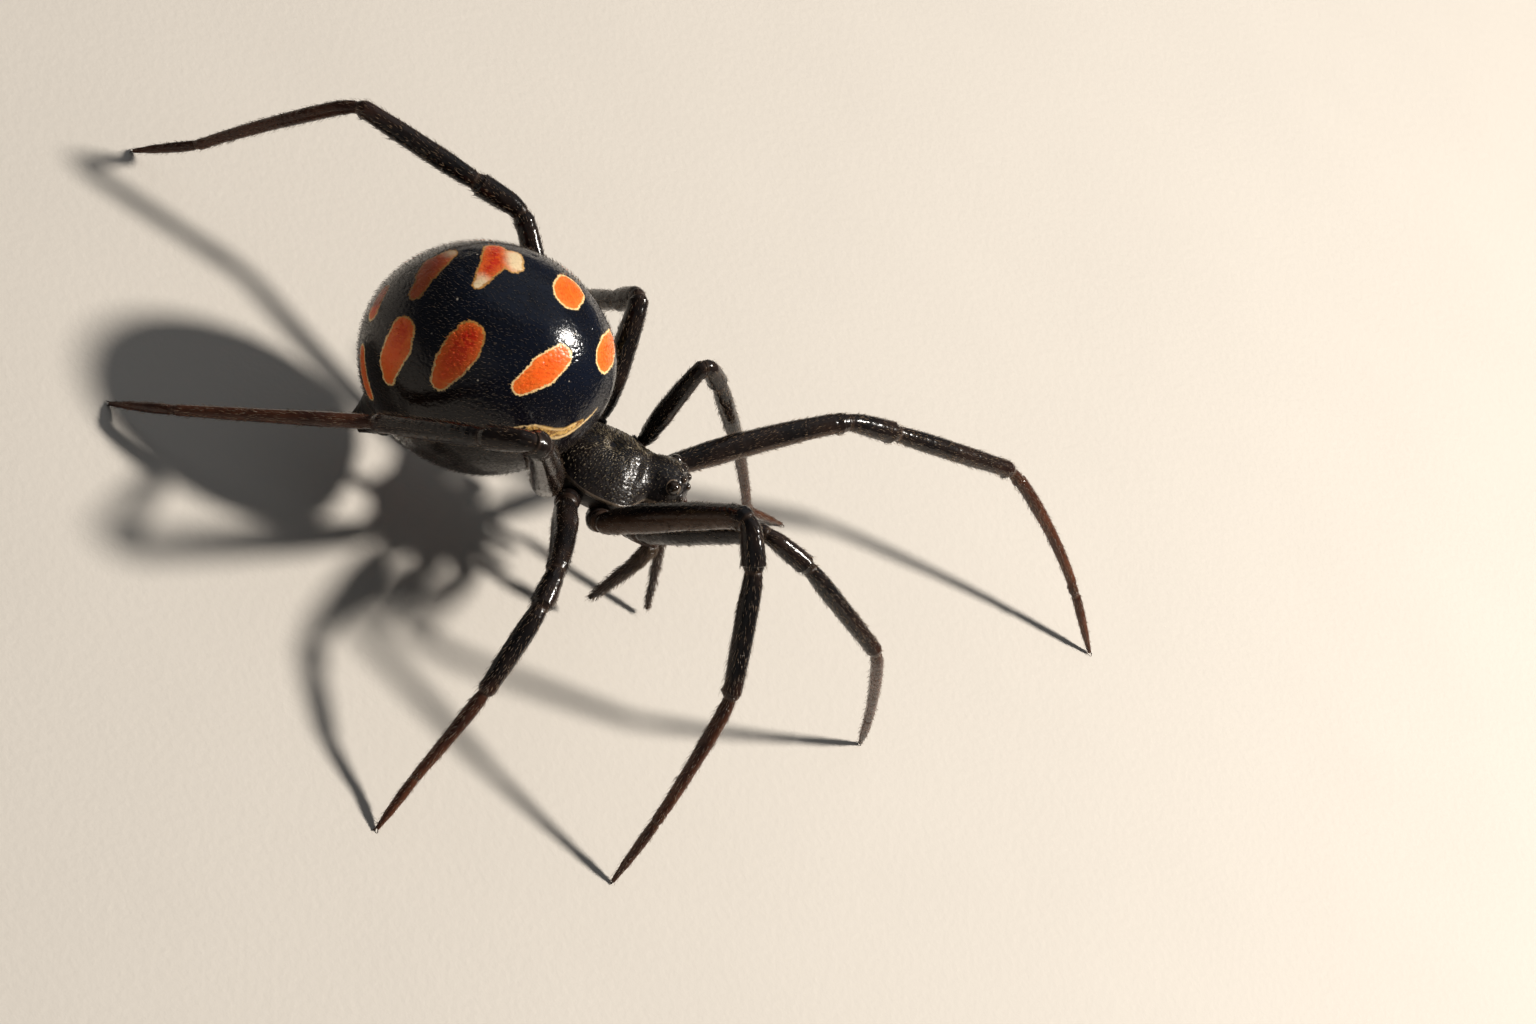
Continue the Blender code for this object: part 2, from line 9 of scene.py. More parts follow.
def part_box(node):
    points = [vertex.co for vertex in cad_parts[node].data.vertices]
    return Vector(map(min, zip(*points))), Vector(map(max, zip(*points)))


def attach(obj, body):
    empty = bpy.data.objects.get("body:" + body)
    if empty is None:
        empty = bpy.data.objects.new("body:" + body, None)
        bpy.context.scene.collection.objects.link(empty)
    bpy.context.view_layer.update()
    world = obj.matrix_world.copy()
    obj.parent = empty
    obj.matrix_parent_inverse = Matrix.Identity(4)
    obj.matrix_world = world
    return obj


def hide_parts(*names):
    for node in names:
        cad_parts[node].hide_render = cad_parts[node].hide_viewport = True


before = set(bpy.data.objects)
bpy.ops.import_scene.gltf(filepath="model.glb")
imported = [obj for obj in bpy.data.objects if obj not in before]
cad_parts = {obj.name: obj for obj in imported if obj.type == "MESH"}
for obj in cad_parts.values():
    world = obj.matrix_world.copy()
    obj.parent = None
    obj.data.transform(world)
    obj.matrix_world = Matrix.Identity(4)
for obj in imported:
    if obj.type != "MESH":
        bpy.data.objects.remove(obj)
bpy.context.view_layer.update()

# A female Mediterranean black widow spider, life size, on a pale studio floor.
# Shapes are worked out in millimetres and become metres when a mesh is made.
mm = 0.001
rng = np.random.default_rng(13)

# How the body stands over the floor, as in the solids
stance = {"height": 5.75, "side": -0.12, "headUp": 5.0, "leanLeft": 9.0}


def bodyTurn():
    turned = Matrix.Rotation(-radians(stance["headUp"]), 4, "Y")
    return turned @ Matrix.Rotation(-radians(stance["leanLeft"]), 4, "X")


# Shader maths

class Wire:
    # one output socket, so that shader maths reads as plain sums
    def __init__(self, graph, socket):
        self.graph = graph
        self.socket = socket

    def __add__(self, other):
        return self.graph.maths("ADD", self, other)

    def __radd__(self, other):
        return self.graph.maths("ADD", other, self)

    def __sub__(self, other):
        return self.graph.maths("SUBTRACT", self, other)

    def __rsub__(self, other):
        return self.graph.maths("SUBTRACT", other, self)

    def __mul__(self, other):
        return self.graph.maths("MULTIPLY", self, other)

    def __rmul__(self, other):
        return self.graph.maths("MULTIPLY", other, self)

    def ease(self, low, high):
        # 0 below low and 1 above high
        settings = {"interpolation_type": "SMOOTHSTEP", "clamp": True}
        return self.graph.node("ShaderNodeMapRange", settings, {0: self, 1: low, 2: high, 3: 0.0, 4: 1.0})

    def atLeast(self, other):
        return self.graph.maths("MAXIMUM", self, other)


class Graph:
    # the nodes of one material, ending in its Principled shader
    def __init__(self, name, **values):
        self.material = bpy.data.materials.new(name)
        self.material.use_nodes = True
        self.tree = self.material.node_tree
        self.shader = self.tree.nodes["Principled BSDF"]
        for socket, value in values.items():
            self.shader.inputs[socket.replace("_", " ")].default_value = value

    def node(self, kind, settings, inputs, out=0):
        made = self.tree.nodes.new(kind)
        for name, value in settings.items():
            setattr(made, name, value)
        for key, value in inputs.items():
            if isinstance(value, Wire):
                self.tree.links.new(value.socket, made.inputs[key])
            else:
                made.inputs[key].default_value = value
        return Wire(self, made.outputs[out])

    def maths(self, operation, first, second):
        return self.node("ShaderNodeMath", {"operation": operation}, {0: first, 1: second})

    def place(self, size=1.0, stretch=(1.0, 1.0, 1.0)):
        # Object coordinates counted in millimetres over size
        where = self.node("ShaderNodeTexCoord", {}, {}, "Object")
        scale = [part / (mm * size) for part in stretch]
        return self.node("ShaderNodeVectorMath", {"operation": "MULTIPLY"}, {0: where, 1: scale})

    def noise(self, size, detail=3.0, rough=0.55, stretch=(1.0, 1.0, 1.0)):
        inputs = {"Vector": self.place(size, stretch), "Scale": 1.0, "Detail": detail, "Roughness": rough}
        return self.node("ShaderNodeTexNoise", {}, inputs)

    def cells(self, size, out="Distance"):
        inputs = {"Vector": self.place(size), "Scale": 1.0}
        return self.node("ShaderNodeTexVoronoi", {}, inputs, out)

    def held(self, name):
        return self.node("ShaderNodeAttribute", {"attribute_name": name}, {}, "Fac")

    def blend(self, share, first, second):
        return self.node("ShaderNodeMix", {"data_type": "RGBA"}, {0: share, 6: first, 7: second}, 2)

    def bump(self, height, depth, normal=None):
        # depth in millimetres
        inputs = {"Height": height, "Distance": depth * mm, "Strength": 1.0}
        if normal:
            inputs["Normal"] = normal
        return self.node("ShaderNodeBump", {}, inputs)

    def give(self, socket, wire):
        self.tree.links.new(wire.socket, self.shader.inputs[socket])


def colour(red, green, blue):
    return (red, green, blue, 1.0)


# Mesh helpers

def finishPiece(name, bm, material, nodes=(), merge=True):
    # millimetres to metres, one object at the origin, riding on the body
    if merge:
        bmesh.ops.remove_doubles(bm, verts=bm.verts, dist=1e-5)
    bmesh.ops.recalc_face_normals(bm, faces=bm.faces)
    bmesh.ops.scale(bm, vec=(mm, mm, mm), verts=bm.verts)
    mesh = bpy.data.meshes.new(name)
    bm.to_mesh(mesh)
    bm.free()
    mesh.materials.append(material)
    mesh.shade_smooth()
    piece = bpy.data.objects.new(name, mesh)
    bpy.context.scene.collection.objects.link(piece)
    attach(piece, "root")
    if nodes:
        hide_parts(*nodes)
    return piece


def loft(bm, rings, values=None):
    # a closed skin over rings of points, each pulled out of the one before
    sides = len(rings[0])
    ring = bmesh.ops.create_circle(bm, segments=sides, radius=1.0)["verts"]
    layers = {name: bm.verts.layers.float.get(name) or bm.verts.layers.float.new(name) for name in values or {}}
    if layers:
        bm.verts.ensure_lookup_table()
        ring = [bm.verts[index - sides] for index in range(sides)]
    hoop = {edge for vert in ring for edge in vert.link_edges}
    bmesh.ops.contextual_create(bm, geom=list(hoop))
    for step, points in enumerate(rings):
        if step:
            pulled = bmesh.ops.extrude_edge_only(bm, edges=list(hoop))["geom"]
            fresh = {item for item in pulled if isinstance(item, bmesh.types.BMVert)}
            ring = [next(edge.other_vert(vert) for edge in vert.link_edges if edge.other_vert(vert) in fresh)
                    for vert in ring]
            hoop = {item for item in pulled if isinstance(item, bmesh.types.BMEdge)
                    and item.verts[0] in fresh and item.verts[1] in fresh}
        for vert, point in zip(ring, points):
            vert.co = point
        for name, layer in layers.items():
            given = values[name][step]
            for index, vert in enumerate(ring):
                vert[layer] = given[index] if hasattr(given, "__len__") else given
    bmesh.ops.contextual_create(bm, geom=list(hoop))


def readProfile(profile, share):
    # eases from one (share, value) pair to the next
    for (low, first), (high, second) in zip(profile[:-1], profile[1:]):
        if share <= high:
            step = max(0.0, (share - low) / (high - low))
            return first + (second - first) * step * step * (3.0 - 2.0 * step)
    return profile[-1][1]


def unit(rows):
    return rows / np.maximum(np.linalg.norm(rows, axis=-1, keepdims=True), 1e-12)


def growHairs(name, roots, ways, outward, lengths, widths, charts, material, extra=None, droop=0.3):
    # one mesh of many closed three-sided hairs; charts are the roots' places on the skin's unwrap
    count = len(roots)
    ways = unit(ways)
    aside = unit(np.cross(ways, outward))
    above = np.cross(aside, ways)
    points = np.empty((count, 7, 3))
    corners = np.array([0.0, 2.0, 4.0]) * pi / 3.0
    lengths = lengths[:, None]
    sag = unit(np.cross(aside, outward)) * -1.0
    sag = np.where((sag * ways).sum(1, keepdims=True) < 0.0, -sag, sag)
    middle = roots + ways * lengths * 0.55
    tip = roots + unit(ways * (1.0 - droop) + sag * droop) * lengths
    foot = roots - outward * widths[:, None] * 0.8
    for index, turn in enumerate(corners):
        spoke = aside * cos(turn) + above * sin(turn)
        points[:, index] = foot + spoke * widths[:, None]
        points[:, 3 + index] = middle + spoke * widths[:, None] * 0.7
    points[:, 6] = tip
    points[..., 2] = np.maximum(points[..., 2], 0.002)
    faces = [(2, 1, 0), (0, 1, 4), (0, 4, 3), (1, 2, 5), (1, 5, 4), (2, 0, 3), (2, 3, 5), (3, 4, 6), (4, 5, 6), (5, 3, 6)]
    table = (np.array(faces)[None] + np.arange(count)[:, None, None] * 7).reshape(-1)
    mesh = bpy.data.meshes.new(name)
    mesh.vertices.add(count * 7)
    mesh.vertices.foreach_set("co", (points * mm).astype(np.float32).ravel())
    mesh.loops.add(len(table))
    mesh.loops.foreach_set("vertex_index", table.astype(np.int32))
    mesh.polygons.add(len(table) // 3)
    mesh.polygons.foreach_set("loop_start", np.arange(0, len(table), 3, dtype=np.int32))
    mesh.update(calc_edges=True)
    patch = 0.003
    spread = np.array([(0, 0), (0.5, 0), (1, 0), (0, 0.5), (0.5, 0.5), (1, 0.5), (0.5, 1)]) - 0.5
    chart = np.clip(charts[:, None, :] * (1.0 - patch) + patch * 0.5 + spread[None] * patch, 0.0, 1.0)
    layer = mesh.uv_layers.new(name="OFBake")
    layer.data.foreach_set("uv", chart.reshape(-1, 2)[table].astype(np.float32).ravel())
    held = {"tip": np.tile([0.0, 0.0, 0.0, 0.55, 0.55, 0.55, 1.0], count), "tone": np.repeat(rng.random(count), 7)}
    for key, rows in (extra or {}).items():
        held[key] = np.repeat(rows, 7)
    for key, rows in held.items():
        mesh.attributes.new(key, "FLOAT", "POINT").data.foreach_set("value", rows.astype(np.float32))
    mesh.materials.append(material)
    mesh.shade_smooth()
    piece = bpy.data.objects.new(name, mesh)
    bpy.context.scene.collection.objects.link(piece)
    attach(piece, "root")
    return piece


# Head and chest shield: its outline and relief

shield = {
    "front": 2.98, "back": 2.2, "thoraxMiddle": -0.3, "thoraxHalfWidth": 2.04,
    "headHalfWidth": 1.1, "headStart": 1.4, "headRaise": 0.15,
    "height": 1.12, "marginHeight": 0.0, "marginThickness": 0.2,
    "furrows": (52.0, 84.0, 118.0, 150.0),   # degrees from straight ahead, one each way
    "furrowDepth": 0.02,
    "pit": -0.35,                            # where the furrows and the rows of bristles meet
    "hairRows": 66, "hairStep": 0.1,
}


def shieldHalfWidth(x):
    reach = shield["thoraxMiddle"] + shield["back"]
    roundness = 2.3 if x < shield["thoraxMiddle"] else 3.0
    away = abs((x - shield["thoraxMiddle"]) / reach)
    thorax = shield["thoraxHalfWidth"] * max(0.0, 1.0 - away ** roundness) ** 0.5
    brow = max(0.0, 1.0 - (max(0.0, x - 1.9) / (shield["front"] - 1.85)) ** 3.0) ** 0.5
    head = shield["headHalfWidth"] * brow if x > shield["thoraxMiddle"] else 0.0
    return (thorax ** 8 + head ** 8) ** (1.0 / 8.0)


def headShare(x):
    # 0 on the thorax, 1 on the head
    return 1.0 / (1.0 + exp(-(x - shield["headStart"]) / 0.15))


def shieldHeight(x):
    rise = max(0.0, 1.0 - ((x - 0.15) / (shield["back"] + 0.37)) ** 2 * 0.86) if x < 0.15 else 1.0
    neck = 1.0 - 0.04 * headShare(x) - 0.1 * exp(-((x - 1.2) / 0.3) ** 2)
    brow = max(0.0, 1.0 - (max(0.0, x - 2.0) / (shield["front"] - 1.95)) ** 2.6)
    return shield["height"] * rise * neck * (0.25 + 0.75 * brow)


def shieldDent(x, y):
    pit = 0.2 * exp(-((x - shield["pit"]) ** 2) / 0.1 - y * y / 0.3)
    groove = 0.13 * exp(-((x - 0.75) ** 2) / 0.05) * (1.0 - exp(-y * y / 0.15))
    return pit + groove


def shieldMargin(x):
    return shield["marginHeight"] + shield["headRaise"] * headShare(x)


def shieldPoint(x, angle):
    width = shieldHalfWidth(x)
    y = width * cos(angle)
    arch = max(0.0, sin(angle)) ** (2.0 - 0.85 * headShare(x))
    return Vector((x, y, shieldMargin(x) + shieldHeight(x) * arch - shieldDent(x, y) * sin(angle)))


# Eyes: place along the shield, share of a half turn from its left margin, and radius
eyes = {
    "front_middle": (2.8, 0.38, 0.16),
    "back_middle": (2.5, 0.38, 0.16),
    "front_side": (2.72, 0.15, 0.13),
    "back_side": (2.23, 0.245, 0.24),
}


def eyeCentre(name, side):
    x, angle, radius = eyes[name]
    return shieldPoint(x, pi * angle if side == "l" else pi * (1.0 - angle))


# The part's middle is under the origin; an eye's box gives the move from the body's own place
eyeLow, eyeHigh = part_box("eye_front_middle_l")
seat = (Vector(eyeLow) + Vector(eyeHigh)) / (2.0 * mm)
bodyPlace = seat - bodyTurn() @ eyeCentre("front_middle", "l")
bodyMatrix = Matrix.Translation(bodyPlace) @ bodyTurn()
shift = bodyPlace - Vector((0.0, stance["side"], stance["height"]))


def bodyRows(points):
    # rows of points in the body's own frame, carried to the part's frame
    turn = np.array(bodyMatrix.to_3x3())
    return np.asarray(points) @ turn.T + np.array(bodyMatrix.translation)


# Camera at the photo's angle, in millimetres from the body's place
viewpoint = {
    "centre": (-50.0, -109.93, 114.02),
    "right": (0.82681, 0.1141, 0.55079),
    "up": (-0.44598, 0.72969, 0.51831),
    "lens": 104.31,
}


def makeCamera():
    right = Vector(viewpoint["right"]).normalized()
    back = right.cross(Vector(viewpoint["up"])).normalized()
    up = back.cross(right)
    data = bpy.data.cameras.new("camera")
    data.lens = viewpoint["lens"]
    data.sensor_width = 36.0
    data.clip_start = 0.005
    data.clip_end = 5.0
    camera = bpy.data.objects.new("camera", data)
    bpy.context.scene.collection.objects.link(camera)
    turn = Matrix((right, up, back)).transposed().to_4x4()
    camera.matrix_world = Matrix.Translation((Vector(viewpoint["centre"]) + shift) * mm) @ turn
    bpy.context.scene.camera = camera


makeCamera()
print("camera set")


# Studio: a pale floor, one small soft key, a broad fill and a dim even surround
studio = {
    "floor": colour(0.5, 0.46, 0.41),
    "lights": {
        # name: direction from the spider, distance and size in millimetres, watts, colour
        "key": ((0.6, 0.14, 0.79), 260.0, 36.0, 1.3, (1.0, 0.95, 0.88)),
        "sky": ((-0.1, 0.5, 0.86), 420.0, 560.0, 0.26, (0.86, 0.93, 1.0)),
        "near": ((-0.35, -0.85, 0.4), 340.0, 260.0, 0.03, (1.0, 0.97, 0.93)),
    },
    "surround": 0.09,
}


def makeStudio():
    graph = Graph("paleFloor", Roughness=0.75)
    tone = graph.noise(9.0, 5.0, 0.6)
    grain = graph.noise(0.35, 2.0)
    low = tuple(part * 0.9 for part in studio["floor"][:3]) + (1.0,)
    graph.give("Base Color", graph.blend(tone * 0.7 + grain * 0.3, low, studio["floor"]))
    graph.give("Normal", graph.bump(grain, 0.02))
    bm = bmesh.new()
    bmesh.ops.create_grid(bm, x_segments=4, y_segments=4, size=1.6)
    mesh = bpy.data.meshes.new("floor")
    bm.to_mesh(mesh)
    bm.free()
    mesh.materials.append(graph.material)
    floor = bpy.data.objects.new("floor", mesh)
    bpy.context.scene.collection.objects.link(floor)
    middle = Vector((0.0, 0.0, 0.006))
    for name, (way, distance, size, watts, tint) in studio["lights"].items():
        data = bpy.data.lights.new(name, "AREA")
        data.shape = "DISK"
        data.size = size * mm
        data.energy = watts
        data.color = tint
        lamp = bpy.data.objects.new(name, data)
        bpy.context.scene.collection.objects.link(lamp)
        away = Vector(way).normalized()
        lamp.location = middle + away * distance * mm
        lamp.rotation_euler = away.to_track_quat("Z", "Y").to_euler()
    world = bpy.data.worlds.new("surround")
    world.use_nodes = True
    back = world.node_tree.nodes["Background"]
    back.inputs["Color"].default_value = colour(0.93, 0.96, 1.0)
    back.inputs["Strength"].default_value = studio["surround"]
    bpy.context.scene.world = world
    bpy.context.scene.view_settings.view_transform = "Standard"


makeStudio()
print("studio set")


# Abdomen: a globe with spots, each a stroke of (degrees round, degrees forward, half width in degrees)
abdomen = {
    "size": (9.4, 8.0, 8.8), "centre": (-6.05, -0.28, 2.13),
    "waistDown": 32.0, "waistHollow": 0.26, "tailDown": 60.0, "tailPoint": 0.05, "bellyFlat": 0.06,
    "segments": (300, 190),
    "middleSpots": (
        ((4, 48, 4.5), (-3, 48, 6.5), (-11, 46.5, 8), (-18, 45, 7.5)),
        ((4, 15, 8.3), (-3, 13, 8.3)),
        ((13, -24, 5.5), (0, -24, 6.5), (-11, -27, 4.2), (-17, -29, 2.8)),
        ((4, -22, 5), (4, -17, 5.5)),
        ((9, -16, 5), (0, -15, 5)),
        ((9, -45, 4.5), (1, -51, 6.8), (-9, -54, 5.8), (-15, -55, 4.6), (-26, -57, 4)),
        ((-5, -79, 4), (-60, -82, 4.5)),
    ),
    "sideSpots": (
        ((-36, 20, 6), (-46, 15, 8), (-58, 8, 5)),
        ((-46, -25, 7.5), (-52, -26, 9), (-64, -28, 8), (-75, -29, 5)),
        ((-60, -57, 6.8), (-72, -56, 8), (-89, -55, 6.8), (-99, -51, 4)),
        ((-130, -70, 3.5), (-136, -62, 4.5), (-138, -52, 4.5)),
    ),
    # soft cream patches within spots
    "paleMarks": (((8, -13, 4), (1, -12, 4)), ((-15, -28, 1.5), (-19, -29, 2.5)), ((11, -43, 2), (13, -42, 2))),
    # the golden band round the front of the belly, between two cream strands
    "frontBand": (((-77, 22, 1.2), (-77, 30, 3.3), (-77, 36, 3), (-75, 42, 2.4), (-71, 46, 2.4), (-65, 50, 1.6)),),
    "frontLines": (
        ((-80, 15, 0.5), (-77, 20, 0.6), (-74.5, 25, 0.6), (-74.5, 34, 0.5), (-73.5, 41, 0.4), (-67, 47, 0.5)),
        ((-79, 27, 0.7), (-81.5, 33, 0.9), (-79.5, 42, 0.9), (-75, 47, 0.9), (-66, 52, 0.8), (-51, 57, 0.5)),
    ),
    "hourglass": (((180, 18, 7), (180, 4, 1.5)), ((180, 2, 1.5), (180, -14, 7))),
    "hairs": 11000,
}


def globeWay(around, forward):
    around, forward = np.radians(around), np.radians(forward)
    return np.stack([np.sin(forward), np.cos(forward) * np.sin(around), np.cos(forward) * np.cos(around)], -1)


def globeReach(ways):
    half = np.array(abdomen["size"]) * 0.5
    reach = 1.0 / np.sqrt(((ways / half) ** 2).sum(-1))
    down, tip = radians(abdomen["waistDown"]), radians(abdomen["tailDown"])
    waist = np.maximum(0.0, ways @ np.array((cos(down), 0.0, -sin(down)))) ** 6
    tail = np.maximum(0.0, ways @ np.array((-cos(tip), 0.0, -sin(tip)))) ** 10
    belly = np.maximum(0.0, -ways[..., 2]) ** 2
    return reach * (1.0 - abdomen["waistHollow"] * waist - abdomen["bellyFlat"] * belly + abdomen["tailPoint"] * tail)


def globePoints(ways):
    return np.array(abdomen["centre"]) + ways * (globeReach(ways) - globeDent(ways))[..., None]


def globeDent(ways):
    # pairs of small muscle pits down the back, and shallow folds towards the waist
    dent = np.zeros(ways.shape[:-1])
    for around, forward, depth in ((13, 30, 0.05), (-13, 30, 0.05), (17, -5, 0.045), (-17, -5, 0.045), (9, -36, 0.03), (-9, -36, 0.03)):
        away = ((ways - globeWay(around, forward)) ** 2).sum(-1)
        dent += depth * np.exp(-away / 0.0012)
    waist = ways @ np.array((cos(radians(32.0)), 0.0, -sin(radians(32.0))))
    near = np.clip((waist - 0.6) / 0.3, 0.0, 1.0)
    dent += near * 0.02 * np.sin(waist * 70.0)
    return dent


def strokeDistance(ways, stroke):
    # distance in millimetres from a tapering stroke on the globe, below zero inside it
    best = np.full(len(ways), 9.0)
    for (a0, f0, r0), (a1, f1, r1) in zip(stroke[:-1], stroke[1:]):
        start, end = globeWay(a0, f0), globeWay(a1, f1)
        line = end - start
        share = np.clip((ways - start) @ line / (line @ line), 0.0, 1.0)
        away = np.linalg.norm(ways - start - share[:, None] * line, axis=1)
        best = np.minimum(best, away - np.radians(r0 + (r1 - r0) * share))
    return best * 4.4


def mirrored(stroke):
    return tuple((-around, forward, width) for around, forward, width in stroke)


def nearest(ways, strokes):
    return np.min([strokeDistance(ways, stroke) for stroke in strokes], axis=0)


def globeMarks(ways):
    # distances to the spots, the front lines and the pale patches, how deep the red is, and how much painted shade dims
    # it
    spots = list(abdomen["middleSpots"]) + list(abdomen["hourglass"])
    spots += [turned for stroke in abdomen["sideSpots"] for turned in (stroke, mirrored(stroke))]
    lines = [turned for stroke in abdomen["frontLines"] for turned in (stroke, mirrored(stroke))]
    band = [turned for stroke in abdomen["frontBand"] for turned in (stroke, mirrored(stroke))]
    forward = np.degrees(np.arcsin(np.clip(ways[:, 0], -1.0, 1.0)))
    around = np.abs(np.degrees(np.arctan2(ways[:, 1], ways[:, 2])))
    deep = np.clip((4.0 - forward) / 22.0, 0.0, 1.0) * np.clip((82.0 - around) / 34.0, 0.0, 1.0)
    # painted shade: the red of the spots far back along the top is darkened where shade falls
    paintedShade = np.clip((-38.0 - forward) / 16.0, 0.0, 1.0) * np.clip((50.0 - around) / 14.0, 0.0, 1.0)
    return {"spot": nearest(ways, spots), "cream": nearest(ways, lines), "band": nearest(ways, band),
            "pale": nearest(ways, abdomen["paleMarks"]), "deep": deep, "paintedShade": paintedShade}


def spottedColours(graph, dark):
    # shared by the skin and its hairs
    wobble = graph.noise(0.32, 3.0, 0.6) - 0.5
    fine = graph.noise(0.08, 2.0, 0.6) - 0.5
    spot = graph.held("spot") + wobble * 0.14 + fine * 0.12
    cream = graph.held("cream") + wobble * 0.1 + fine * 0.08
    deep, paintedShade = graph.held("deep"), graph.held("paintedShade")
    mottle = graph.noise(0.16, 3.0, 0.65)
    red = graph.blend(deep, colour(0.86, 0.115, 0.012), colour(0.52, 0.022, 0.005))
    red = graph.blend(mottle.ease(0.45, 0.75) * 0.55, red, colour(0.88, 0.19, 0.022))
    red = graph.blend(spot.ease(-0.45, -0.1) * 0.5, red, colour(0.8, 0.19, 0.03))
    pale = 1.0 - (graph.held("pale") + wobble * 0.25).ease(-0.1, 0.42)
    red = graph.blend(pale, red, colour(0.8, 0.62, 0.38))
    # painted shade darkens the red far back along the top
    red = graph.blend(paintedShade * 0.85, red, colour(0.26, 0.06, 0.02))
    # spot rims turn browner where the red is deep or under painted shade, and fainter under painted shade
    edge = graph.blend(deep.atLeast(paintedShade), colour(0.85, 0.6, 0.28), colour(0.5, 0.24, 0.06))
    outer = 1.0 - spot.ease(-0.02, 0.025)
    inner = 1.0 - spot.ease(-0.085, -0.045)
    painted = graph.blend(outer * (1.0 - paintedShade * 0.5), dark, edge)
    painted = graph.blend(inner, painted, red)
    gold = 1.0 - (graph.held("band") + wobble * 0.2).ease(-0.05, 0.05)
    painted = graph.blend(gold, painted, graph.blend(mottle.ease(0.42, 0.58), colour(0.2, 0.085, 0.018), colour(0.7, 0.43, 0.13)))
    creamShare = 1.0 - cream.ease(-0.04, 0.025)
    painted = graph.blend(creamShare, painted, colour(0.78, 0.55, 0.27))
    return painted, outer.atLeast(creamShare).atLeast(gold)


def makeAbdomen():
    across, along = abdomen["segments"]
    bm = bmesh.new()
    bmesh.ops.create_uvsphere(bm, u_segments=across, v_segments=along, radius=1.0)
    bmesh.ops.rotate(bm, verts=bm.verts, matrix=Matrix.Rotation(pi / 2.0, 3, "Y"))
    ways = unit(np.array([vert.co for vert in bm.verts]))
    for vert, place in zip(bm.verts, bodyRows(globePoints(ways))):
        vert.co = place
    for name, rows in globeMarks(ways).items():
        layer = bm.verts.layers.float.new(name)
        for vert, value in zip(bm.verts, rows):
            vert[layer] = value
    graph = Graph("abdomenSkin", Roughness=0.2, Coat_Roughness=0.12, Specular_IOR_Level=0.22)
    # painted sky reflection: the black turns blue-black towards the top and stays brown-black lower down
    up = graph.node("ShaderNodeSeparateXYZ", {}, {0: graph.place(1.0)}, 2)
    dark = graph.blend(up.ease(6.5, 11.0), colour(0.009, 0.005, 0.003), colour(0.004, 0.006, 0.013))
    dark = graph.blend(graph.noise(1.6, 3.0).ease(0.35, 0.75) * 0.6, dark, colour(0.003, 0.003, 0.004))
    flecks = 1.0 - graph.cells(0.62).ease(0.05, 0.085)
    flecks = flecks * graph.noise(0.9, 1.0).ease(0.5, 0.56)
    dark = graph.blend(flecks * 0.85, dark, colour(0.6, 0.52, 0.42))
    painted, marked = spottedColours(graph, dark)
    graph.give("Base Color", painted)
    graph.give("Roughness", marked * 0.15 + graph.noise(0.4, 2.0) * 0.1 + 0.09)
    graph.give("Coat Weight", 0.12 - marked * 0.08)
    # small domes give the gloss its sparkle
    domes = graph.cells(0.15)
    leather = graph.noise(0.06, 2.0) * 0.35 - domes * domes * graph.noise(0.8, 2.0).ease(0.35, 0.6)
    graph.give("Normal", graph.bump(leather, 0.017, graph.bump(graph.noise(0.55, 2.0), 0.02)))
    return finishPiece("abdomen", bm, graph.material, ["abdomen"], merge=False)


def makeAbdomenHairs():
    count = abdomen["hairs"]
    step = np.arange(count) + 0.5
    forward = np.degrees(np.arcsin(1.0 - 2.0 * step / count)) + rng.normal(0.0, 0.5, count)
    around = np.degrees(step * pi * (3.0 - sqrt(5.0))) % 360.0 - 180.0 + rng.normal(0.0, 0.7, count)
    forward = np.clip(forward, -89.5, 89.5)
    ways = globeWay(around, forward)
    roots = globePoints(ways)
    small = 1e-3
    east = globePoints(unit(ways + small * unit(np.cross(ways, (1.0, 0.0, 0.0))))) - roots
    north = globePoints(unit(ways + small * unit(np.cross(ways, np.cross(ways, (1.0, 0.0, 0.0)))))) - roots
    outward = unit(np.cross(east, north))
    outward = np.where((outward * ways).sum(1, keepdims=True) < 0.0, -outward, outward)
    back = np.array((-1.0, 0.0, -0.15)) + rng.normal(0.0, 0.3, (count, 3))
    back = unit(back - (back * outward).sum(1, keepdims=True) * outward)
    lift = rng.uniform(0.25, 1.4, count)[:, None]
    lengths = rng.uniform(0.1, 0.21, count)
    graph = Graph("abdomenHair", Roughness=0.42, Specular_IOR_Level=0.4)
    tip, tone = graph.held("tip"), graph.held("tone")
    # hair tips lighter: partly the hairs' own colour, partly a painted glint
    dark = graph.blend(tip * tone, colour(0.012, 0.009, 0.008), colour(0.24, 0.16, 0.09))
    painted, marked = spottedColours(graph, dark)
    graph.give("Base Color", painted)
    turn = np.array(bodyMatrix.to_3x3())
    charts = np.stack([(around + 180.0) / 360.0, (forward + 90.0) / 180.0], 1)
    growHairs("abdomen_hairs", bodyRows(roots), (back + outward * lift) @ turn.T, outward @ turn.T, lengths,
              np.full(count, 0.0062), charts, graph.material, globeMarks(ways))


makeAbdomen()
makeAbdomenHairs()
print("abdomen made")


